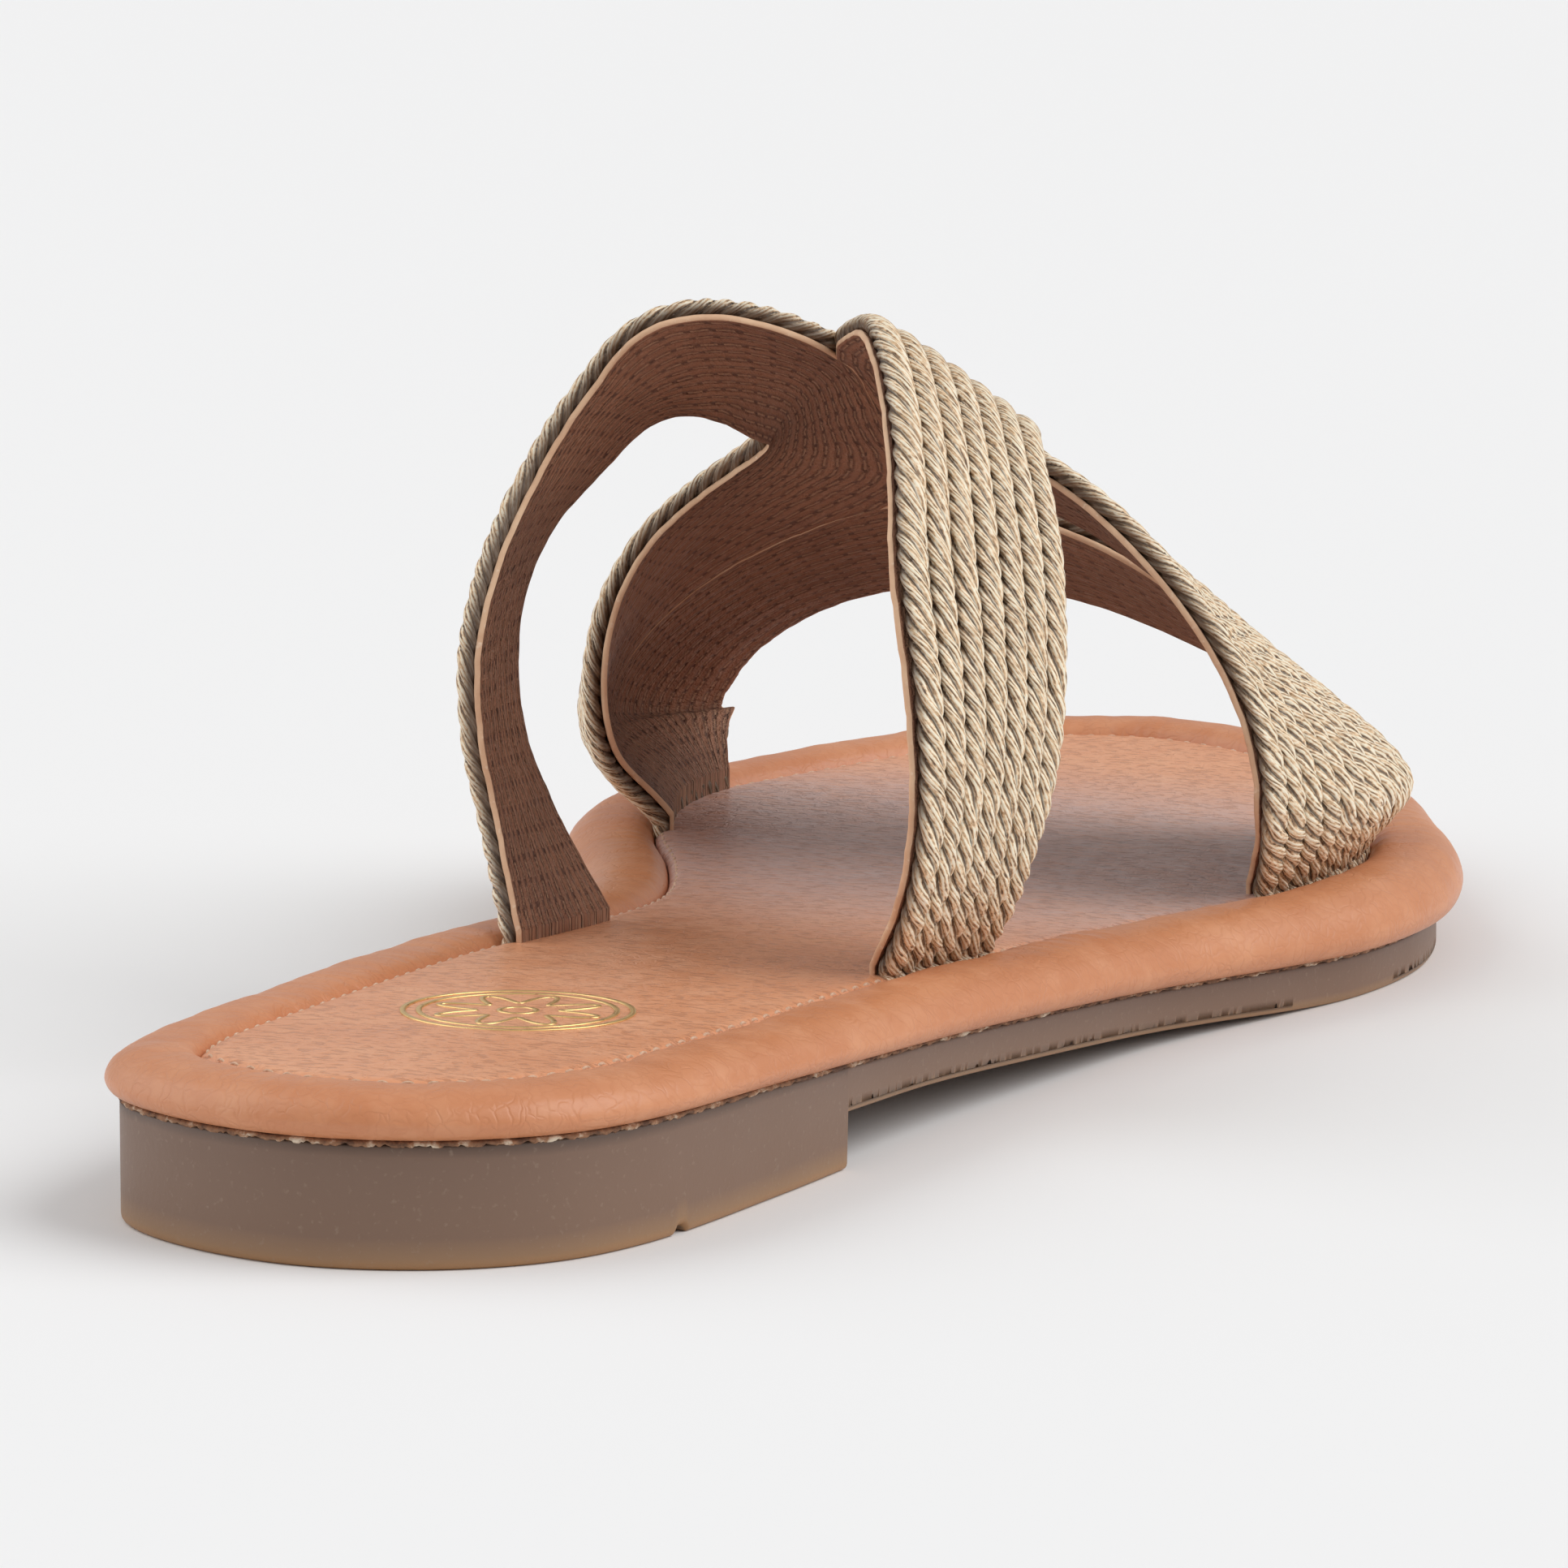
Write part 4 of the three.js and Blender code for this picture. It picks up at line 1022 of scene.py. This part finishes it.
@dataclass
class StrapLining:
    """Backing leather under the cords of one strap, quilted by its stitch rows, with a wavy cut edge."""

    shape: StrapShape
    strap: Strap
    step: float = 0.8
    per_cord: int = 10
    edge_reach: float = 0.16
    quilt: float = 0.16

    def build(self, lining: bpy.types.Material, edge: bpy.types.Material) -> bpy.types.Object:
        """Makes the backing.

        Args:
            lining: material of its faces.
            edge: material of its cut edge.

        Returns:
            The piece.
        """
        run = np.linspace(0, 1, int(self.shape.length() / self.step))
        run = np.concatenate([[0.0], run, [1.0]])
        section, out, slot = self.section()
        seed = 31 + list(Strap).index(self.strap)
        arc = np.interp(run, np.linspace(0, 1, len(self.shape.arc)), self.shape.arc)
        wave = 0.16 * Noise1D(seed, 7.0, 4)(arc), 0.16 * Noise1D(seed + 9, 6.0, 4)(arc)
        width = self.shape.width(run)
        reach = [(self.edge_reach + w) / width for w in wave]
        share = (section[None, :] * (1 + reach[0] + reach[1])[:, None]) - reach[0][:, None]
        points = self.shape.point(np.repeat(run[:, None], len(section), 1), share, np.tile(out, (len(run), 1)))
        points[0, :, 2] -= FOOT_DEPTH
        points[-1, :, 2] -= FOOT_DEPTH
        uv = np.stack([np.broadcast_to(section * CORDS, share.shape),
                       np.broadcast_to(arc[:, None], share.shape)], axis=-1)
        uv = np.concatenate([uv, uv[:, :1]], axis=1)
        writer = MeshWriter()
        writer.grid(points, wrap_columns=True, uv=uv, slot=slot[None, :])
        middle = points.mean(axis=1, keepdims=True)
        for row, flip in ((0, True), (-1, False)):
            cap = np.stack([points[row], np.repeat(middle[row], points.shape[1], 0)])
            writer.grid(cap, wrap_columns=True, flip=not flip)
        return writer.piece(f"lining_{self.strap.value}", [lining, edge], merge=0.0005)

    def section(self) -> tuple[Array, Array, Array]:
        """Closed section: shares across, distances out, and the material of each face."""
        top, bottom = -CORD_RELIEF - 0.12, -CORD_RELIEF - BACKING + 0.12
        outer = np.linspace(0.0, 1.0, 9)
        fine = np.linspace(1, 0, CORDS * self.per_cord + 1)
        round_out = np.linspace(top, bottom, 6)[1:-1]
        bulge = 0.006 * np.sin(np.linspace(0, math.pi, 6))[1:-1]
        dip = self.quilt * (1 - np.abs(np.cos(math.pi * fine * CORDS)) ** 0.5)
        share = np.concatenate([outer, 1 + bulge, fine, -bulge])
        out = np.concatenate([np.full(9, top), round_out, bottom + dip, round_out[::-1]])
        edge_faces, plain = len(round_out) + 1, np.zeros
        slot = np.concatenate([plain(8), np.ones(edge_faces), plain(len(fine) - 1), np.ones(edge_faces)])
        return share, out, slot


@dataclass
class FootbedRim:
    """Padded leather rim: a closed section carried round the outline, gathered along its seam."""

    last: Last
    around: int = 44
    gather: float = 0.16
    waviness: float = 0.16

    def build(self, finish: bpy.types.Material) -> bpy.types.Object:
        """Makes the rim.

        Args:
            finish: material of the leather.

        Returns:
            The piece.
        """
        plan = FootPlan(even_stations(760))
        rows = np.array(RIM_ROWS, float)
        section = spline(rows, True, 24)
        section = section[np.linspace(0, len(section), self.around, endpoint=False).astype(int)]
        x = plan.points[:, 0]
        arc = np.concatenate([[0], np.cumsum(np.linalg.norm(np.diff(plan.points, axis=0), axis=1))])
        overhang = RIM_OVERHANG * self.last.seam["overhang"](x / LENGTH)
        out = section[:, 0][None, :] * (SEAM_INSET + overhang)[:, None] - SEAM_INSET
        flat = plan.points[:, None, :] + plan.normals[:, None, :] * out[..., None]
        px = flat[..., 0]
        floor = self.last.outsole_top(px) + CLEARANCE
        crown = RIM_CROWN * self.last.seam["crown"](px / LENGTH)
        up, top = section[:, 1][None, :], section[:, 2][None, :]
        z = floor + up * (self.last.seam_top(px) - floor) + top * crown
        z += self.relief(arc, section[:, 0]) * np.clip(up * 1.6 - 0.4, 0, 1)
        points = np.concatenate([flat, z[..., None]], axis=-1)
        writer = MeshWriter()
        writer.grid(points, wrap_rows=True, wrap_columns=True)
        return writer.piece("rim", [finish], merge=0.0005)

    def relief(self, arc: Array, out: Array) -> Array:
        """Height of gathers that fade outwards from the seam, and of a slow waviness all over.

        h = gather a(s) cos(2 pi s / 3.1 + wobble) (1 - out)^2 + waviness n(s)
        """
        amount = np.clip(0.35 + 0.9 * Noise1D(5, 90.0, 3)(arc), 0, 1)
        folds = np.cos(2 * math.pi * arc / 3.1 + 4 * Noise1D(6, 23.0, 4)(arc)) * amount
        fade = np.clip(1 - out, 0, 1) ** 2
        return self.gather * folds[:, None] * fade[None, :] + self.waviness * Noise1D(8, 26.0, 4)(arc)[:, None]


@dataclass
class Insole:
    """Stitched sock of leather on its board, rolled down into the seam."""

    last: Last
    roll: float = 1.5
    depth: float = 0.9
    margin: float = 0.05
    spine_end: float = 20.0
    bands: int = 14

    def height(self, x: Array, inset: Array) -> Array:
        """Top of the sock at a place along the shoe and a distance in from its edge.

        z = seam - depth (1 - min(inset / roll, 1))^2 + 0.35 (1 - e^(-inset / 9))
        """
        fall = self.depth * (1 - np.clip(inset / self.roll, 0, 1)) ** 2
        return self.last.seam_top(x) - fall + 0.35 * (1 - np.exp(-inset / 9.0))

    def build(self, finish: bpy.types.Material) -> bpy.types.Object:
        """Makes the insole.

        Args:
            finish: material of the leather.

        Returns:
            The piece.
        """
        plan = FootPlan(even_stations(360))
        insets = np.array([0.0, 0.3, 0.6, 1.0, 1.5, 2.1, 3.0, 4.5])
        rings = []
        for inset in insets:
            ring = plan.ring(-SEAM_INSET - self.margin - inset)
            rings.append(np.column_stack([ring, self.height(ring[:, 0], np.full(len(ring), inset))]))
        base = rings[0].copy()
        base[:, 2] = self.last.outsole_top(base[:, 0]) + CLEARANCE
        writer = MeshWriter()
        writer.grid(np.stack([base, *rings]), wrap_columns=True)
        writer.grid(self.lid(plan, rings[-1], insets[-1]), wrap_columns=True)
        bottom = plan.lid(base, 3)
        bottom[:, 1, 2] = self.last.outsole_top(bottom[:, 1, 0]) + CLEARANCE
        writer.grid(bottom, flip=True)
        return writer.piece("sock", [finish], merge=0.0008)

    def lid(self, plan: FootPlan, ring: Array, inset: float) -> Array:
        """Rings that close in evenly from a ring to the middle line of the sock.

        Args:
            plan: the outline, which gives the order of the ring.
            ring: the innermost ring of the roll.
            inset: its distance from the edge.

        Returns:
            (bands, points, 3) grid: ring (1 - s) + spine s, the last ring folded onto the spine.
        """
        lateral = ring[: plan.count, :2]
        medial = np.vstack([ring[:1], ring[plan.count - 1:][::-1]])[:, :2]
        middle = (lateral + medial) / 2
        x = np.clip(middle[:, 0], middle[0, 0] + self.spine_end, middle[-1, 0] - self.spine_end)
        spine = np.column_stack([x, np.interp(x, middle[:, 0], middle[:, 1])])
        spine = np.vstack([spine, spine[-2:0:-1]])
        s = np.linspace(0, 1, self.bands)[:, None, None]
        flat = ring[None, :, :2] * (1 - s) + spine[None] * s
        inside = inset + s[..., 0] * np.linalg.norm(ring[:, :2] - spine, axis=1)[None, :]
        z = self.height(flat[..., 0], inside)
        return np.concatenate([flat, z[..., None]], axis=-1)


@dataclass
class Outsole:
    """Moulded rubber unit with rounded edges, a heel block, a tread groove and a fine tread."""

    last: Last
    edge: float = 0.7
    tread_depth: float = 0.35
    tread_pitch: float = 3.2

    def stations(self) -> Array:
        """Places along the shoe: crowded at the ends, the breast, the groove and the tread."""
        near = [np.linspace(-0.5, 0.5, 9) + BREAST, np.linspace(-1.4, 1.4, 15) + GROOVE_FROM_HEEL]
        every = np.arange(4.0, LENGTH - 4, self.tread_pitch / 5)
        return np.unique(np.round(np.concatenate([even_stations(260), every, *near]), 3))

    def bottom(self, x: Array) -> Array:
        """Underside with the heel block, its breast and the tread groove."""
        waist = self.last.underside(x)
        block = np.clip((x - (BREAST - 0.25)) / 0.25, 0, 1)
        flat = (x > 0.640 * LENGTH) & (x < 0.830 * LENGTH)
        groove = 0.8 * np.clip(1.8 - np.abs(x - GROOVE_FROM_HEEL) / 0.65, 0, 1)
        return np.where(x < BREAST, groove + block * waist, np.where(flat, 0.0, waist))

    def tread(self, x: Array, t: Array) -> Array:
        """Depth of the fine tread: ribs across heel and forefoot, inside a plain border."""
        inside = np.clip((0.5 - np.abs(t - 0.5) - 0.09) / 0.03, 0, 1)
        heel = np.clip((x - 9) / 3, 0, 1) * np.clip((54 - x) / 3, 0, 1) * (np.abs(x - GROOVE_FROM_HEEL) > 4)
        fore = np.clip((x - 150) / 4, 0, 1) * np.clip((228 - x) / 4, 0, 1)
        wave = np.clip(0.5 - 1.2 * np.cos(2 * math.pi * (x + 5 * np.cos(2 * math.pi * t)) / self.tread_pitch), 0, 1)
        return self.tread_depth * wave * inside * (heel + fore)

    def build(self, finish: bpy.types.Material) -> bpy.types.Object:
        """Makes the outsole.

        Args:
            finish: material of the rubber.

        Returns:
            The piece.
        """
        plan = FootPlan(self.stations())
        bend = np.linspace(0, math.pi / 2, 5)
        low = [(-self.edge * (1 - math.sin(a)), 0.0, self.edge * (1 - math.cos(a))) for a in bend]
        walls = [(0.0, s, self.edge) for s in (0.15, 0.35, 0.6, 0.85)]
        high = [(-0.3 * (1 - math.cos(a)), 1.0, 0.3 * (math.sin(a) - 1)) for a in bend[::2]]
        rings, shares = [], []
        for inset, share, lift in [*low, *walls, *high]:
            ring = plan.ring(inset)
            bottom, top = self.bottom(plan.points[:, 0]), self.last.outsole_top(ring[:, 0])
            z = bottom + share * (top - bottom) + (lift if share in (0.0, 1.0) else 0.0)
            rings.append(np.column_stack([ring, z]))
            shares.append((z - bottom) / (top - bottom))
        writer = MeshWriter()
        writer.grid(np.stack(rings), wrap_columns=True, share=np.stack(shares))
        self.close(writer, plan, rings)
        return writer.piece("sole", [finish], merge=0.0008)

    def close(self, writer: MeshWriter, plan: FootPlan, rings: Sequence[Array]) -> None:
        """Closes the top with a plain lid and the underside with the tread."""
        under = plan.lid(rings[0], 41)
        t = np.linspace(0, 1, 41)[None, :]
        depth = self.tread(under[..., 0], np.broadcast_to(t, under.shape[:2]))
        under[..., 2] += depth
        writer.grid(under, flip=True, share=np.full(under.shape[:2], 0.25))
        over = plan.lid(rings[-1], 3)
        over[:, 1, 2] = self.last.outsole_top(over[:, 1, 0])
        writer.grid(over, share=np.ones(over.shape[:2]))


@dataclass
class GlueBead:
    """Ragged bead between the rim and the outsole wall."""

    last: Last
    reach: float = 0.12
    height: float = 0.75

    def build(self, finish: bpy.types.Material) -> bpy.types.Object:
        """Makes the bead.

        Args:
            finish: material of the glue line.

        Returns:
            The piece.
        """
        plan = FootPlan(even_stations(900))
        arc = np.concatenate([[0], np.cumsum(np.linalg.norm(np.diff(plan.points, axis=0), axis=1))])
        angle = np.linspace(0, 2 * math.pi, 10, endpoint=False)
        rag = 0.30 * Noise1D(21, 3.4, 5)(arc)[:, None] + 0.16 * Noise1D(22, 1.3, 3)(arc)[:, None]
        out = -0.7 + (0.7 + self.reach + 0.3 * rag) * np.cos(angle)[None, :]
        flat = plan.points[:, None, :] + plan.normals[:, None, :] * out[..., None]
        lower = np.where(np.sin(angle) < 0, 1.0, 0.2)[None, :]
        middle = self.last.outsole_top(flat[..., 0]) + 0.12
        z = middle + self.height / 2 * np.sin(angle)[None, :] + rag * lower
        writer = MeshWriter()
        writer.grid(np.concatenate([flat, z[..., None]], axis=-1), wrap_rows=True, wrap_columns=True)
        return writer.piece("glue_bead", [finish], merge=0.0005)


@dataclass
class SeamStitches:
    """Row of short stitches in the seam between rim and insole."""

    last: Last
    insole: Insole
    pitch: float = 2.4
    length: float = 1.5
    thickness: float = 0.34
    inset: float = 0.50

    def build(self, finish: bpy.types.Material) -> bpy.types.Object:
        """Makes all stitches as one piece: capsules bent along the seam.

        Args:
            finish: material of the thread.

        Returns:
            The piece.
        """
        plan = FootPlan(even_stations(700))
        ring = plan.ring(-SEAM_INSET - CLEARANCE - self.inset)
        closed = np.vstack([ring, ring[:1]])
        total = float(np.linalg.norm(np.diff(closed, axis=0), axis=1).sum())
        count = int(total / self.pitch)
        writer = MeshWriter()
        draw = np.random.default_rng(77)
        for centre in np.arange(count) * total / count:
            self.add_stitch(writer, closed, centre, draw)
        return writer.piece("seam_stitches", [finish])

    def add_stitch(self, writer: MeshWriter, line: Array, centre: float, draw: np.random.Generator) -> None:
        """Adds one stitch: its height is a sine over its length, so that both ends dive in."""
        t = np.linspace(0, 1, 7)
        flat = resample(line, centre + (t - 0.5) * self.length * draw.uniform(0.92, 1.06))
        z = self.insole.height(flat[:, 0], np.full(7, self.inset)) + 0.26 * np.sin(math.pi * t) - 0.06
        spine = np.column_stack([flat, z])
        along = unit(np.gradient(spine, axis=0))
        side = unit(np.cross(along, np.array([0, 0, 1.0])))
        up = np.cross(side, along)
        angle = np.linspace(0, 2 * math.pi, 8, endpoint=False)
        radius = self.thickness / 2 * np.sqrt(np.clip(1 - (2 * t - 1) ** 6, 0.0, 1))
        points = spine[:, None, :] + radius[:, None, None] * (
            side[:, None, :] * np.cos(angle)[None, :, None] + up[:, None, :] * np.sin(angle)[None, :, None])
        writer.grid(points, wrap_columns=True)


@dataclass
class FoilRosette:
    """Plain ornament of foil lines on the heel of the insole: a ring and an eight-petalled rosette."""

    last: Last
    insole: Insole
    centre: tuple[float, float] = (47.0, -1.0)
    radius: float = 11.0
    line: float = 0.55
    proud: float = 0.05

    def build(self, finish: bpy.types.Material) -> bpy.types.Object:
        """Makes the lines r = R (1 + a cos 8 angle) as flat ribbons just above the leather.

        Args:
            finish: material of the foil.

        Returns:
            The piece.
        """
        writer = MeshWriter()
        for share, petals in ((1.0, 0.0), (0.86, 0.0), (0.56, 0.34), (0.16, 0.0)):
            angle = np.linspace(0, 2 * math.pi, 240, endpoint=False)
            radius = self.radius * share * (1 + petals * np.cos(8 * angle))
            middle = np.stack([radius * np.cos(angle), radius * np.sin(angle)], axis=1)
            along = unit(np.roll(middle, -1, axis=0) - np.roll(middle, 1, axis=0))
            across = np.stack([along[:, 1], -along[:, 0]], axis=1)
            self.ribbon(writer, middle + np.array(self.centre), across)
        return writer.piece("foil_rosette", [finish])

    def ribbon(self, writer: MeshWriter, middle: Array, across: Array) -> None:
        """Adds one closed flat ribbon, sunk a little at its edges."""
        sides = np.array([-0.5, -0.5, 0.5, 0.5]) * self.line
        lift = np.array([-0.10, self.proud, self.proud, -0.10])
        flat = middle[:, None, :] + across[:, None, :] * sides[None, :, None]
        z = self.insole.height(flat[..., 0], np.full(flat.shape[:2], 20.0)) + lift[None, :]
        writer.grid(np.concatenate([flat, z[..., None]], axis=-1), wrap_rows=True, wrap_columns=True, flip=True)


@dataclass
class Studio:
    """Camera at the photograph's angle, pale floor and soft lights."""

    position: tuple[float, float, float] = (-707.0, -341.2, 179.2)
    yaw: float = 0.3932
    pitch: float = 0.1701
    roll: float = 0.001
    focal_pixels: float = 10885.0
    image_pixels: float = 1932.0

    def build(self) -> None:
        """Makes the camera, floor, world and lights."""
        self.camera()
        self.floor()
        self.world()
        self.sun("key", (0.20, -1.00, 0.90), 55.0, 1.75)
        self.sun("side", (-0.25, 1.00, 0.70), 70.0, 1.15)
        bpy.context.scene.view_settings.view_transform = "Standard"

    def camera(self) -> None:
        """Camera from the fitted place, yaw, pitch and roll."""
        data = bpy.data.cameras.new("camera")
        data.sensor_width = 36.0
        data.lens = self.focal_pixels / self.image_pixels * data.sensor_width
        data.clip_start, data.clip_end = 0.01, 100.0
        camera = bpy.data.objects.new("camera", data)
        bpy.context.scene.collection.objects.link(camera)
        forward = Vector((math.cos(self.pitch) * math.cos(self.yaw),
                          math.cos(self.pitch) * math.sin(self.yaw), -math.sin(self.pitch)))
        right = Vector((math.sin(self.yaw), -math.cos(self.yaw), 0.0))
        up = right.cross(forward)
        turned = right * math.cos(self.roll) + up * math.sin(self.roll)
        upright = up * math.cos(self.roll) - right * math.sin(self.roll)
        axes = Matrix((turned, upright, -forward)).transposed().to_4x4()
        place = (Vector(self.position) + Vector(SHIFT)) * METRE
        camera.matrix_world = Matrix.Translation(place) @ axes
        bpy.context.scene.camera = camera

    def floor(self) -> None:
        """Wide pale floor."""
        mesh = bpy.data.meshes.new("floor")
        half = 6.0
        mesh.from_pydata([(-half, -half, 0), (half, -half, 0), (half, half, 0), (-half, half, 0)], [],
                         [(0, 1, 2, 3)])
        floor = bpy.data.objects.new("floor", mesh)
        bpy.context.scene.collection.objects.link(floor)
        n = Nodes("pale_floor", roughness=0.9, specular=0.1)
        mesh.materials.append(n.finished((0.90, 0.90, 0.903)))

    def world(self) -> None:
        """Even pale light from all round."""
        world = bpy.data.worlds.new("studio")
        world.use_nodes = True
        background = world.node_tree.nodes["Background"]
        background.inputs["Color"].default_value = (1.0, 1.0, 1.0, 1.0)
        background.inputs["Strength"].default_value = 0.42
        bpy.context.scene.world = world

    def sun(self, name: str, towards: tuple[float, float, float], spread: float, strength: float) -> None:
        """Soft distant light.

        Args:
            name: name of the light.
            towards: direction from the shoe to the light.
            spread: angle of the light in degrees.
            strength: irradiance.
        """
        data = bpy.data.lights.new(name, "SUN")
        data.angle, data.energy = math.radians(spread), strength
        lamp = bpy.data.objects.new(name, data)
        bpy.context.scene.collection.objects.link(lamp)
        turn = (-Vector(towards)).to_track_quat("-Z", "Y")
        lamp.matrix_world = turn.to_matrix().to_4x4()


def dress() -> None:
    """Builds the sub-assemblies in order and ties each piece to the frame."""
    last = Last()
    cord, lining, cut = GoldCord().material(), Lining().material(), CutEdge().material()
    for strap, rows in STRAP_ROWS.items():
        shape = StrapShape(last, rows)
        ropes = StrapCords(shape, strap).build(cord)
        back = StrapLining(shape, strap).build(lining, cut)
        for piece in (ropes, back):
            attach(piece, "root")
            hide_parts("upper")
        LOG.info("%s strap is %.0f mm long", strap.value, shape.length())
    rim = FootbedRim(last).build(TanLeather().material())
    # The sock gets a painted sheen over its forefoot and painted shade in its pressed grooves.
    sock_leather = TanLeather(name="sock_leather", colour=(0.82, 0.375, 0.195), warm=(0.72, 0.300, 0.145),
                              pale=(0.80, 0.45, 0.28), grain_scale=640.0, grain_depth=0.06, roughness=0.36,
                              painted_sheen=0.75, dashes=0.8)
    insole = Insole(last)
    sock = insole.build(sock_leather.material())
    sole = Outsole(last).build(MouldedRubber().material())
    bead = GlueBead(last).build(GlueLine().material())
    stitches = SeamStitches(last, insole).build(SeamThread().material())
    rosette = FoilRosette(last, insole).build(GoldFoil().material())
    owners = ((rim, "rim_leather", "footbed_rim"), (sock, "sock_leather", "insole"),
              (sole, "outsole_rubber", "outsole"), (bead, "rim_leather", None),
              (stitches, "sock_leather", None), (rosette, "sock_leather", None))
    for piece, slot, node in owners:
        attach(piece, "root")
        if node is not None:
            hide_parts(node)


def main() -> None:
    """Makes the studio and the dressed sandal."""
    logging.basicConfig(level=logging.INFO, format="%(name)s %(message)s")
    Studio().build()
    dress()


if __name__ == "__main__":
    main()
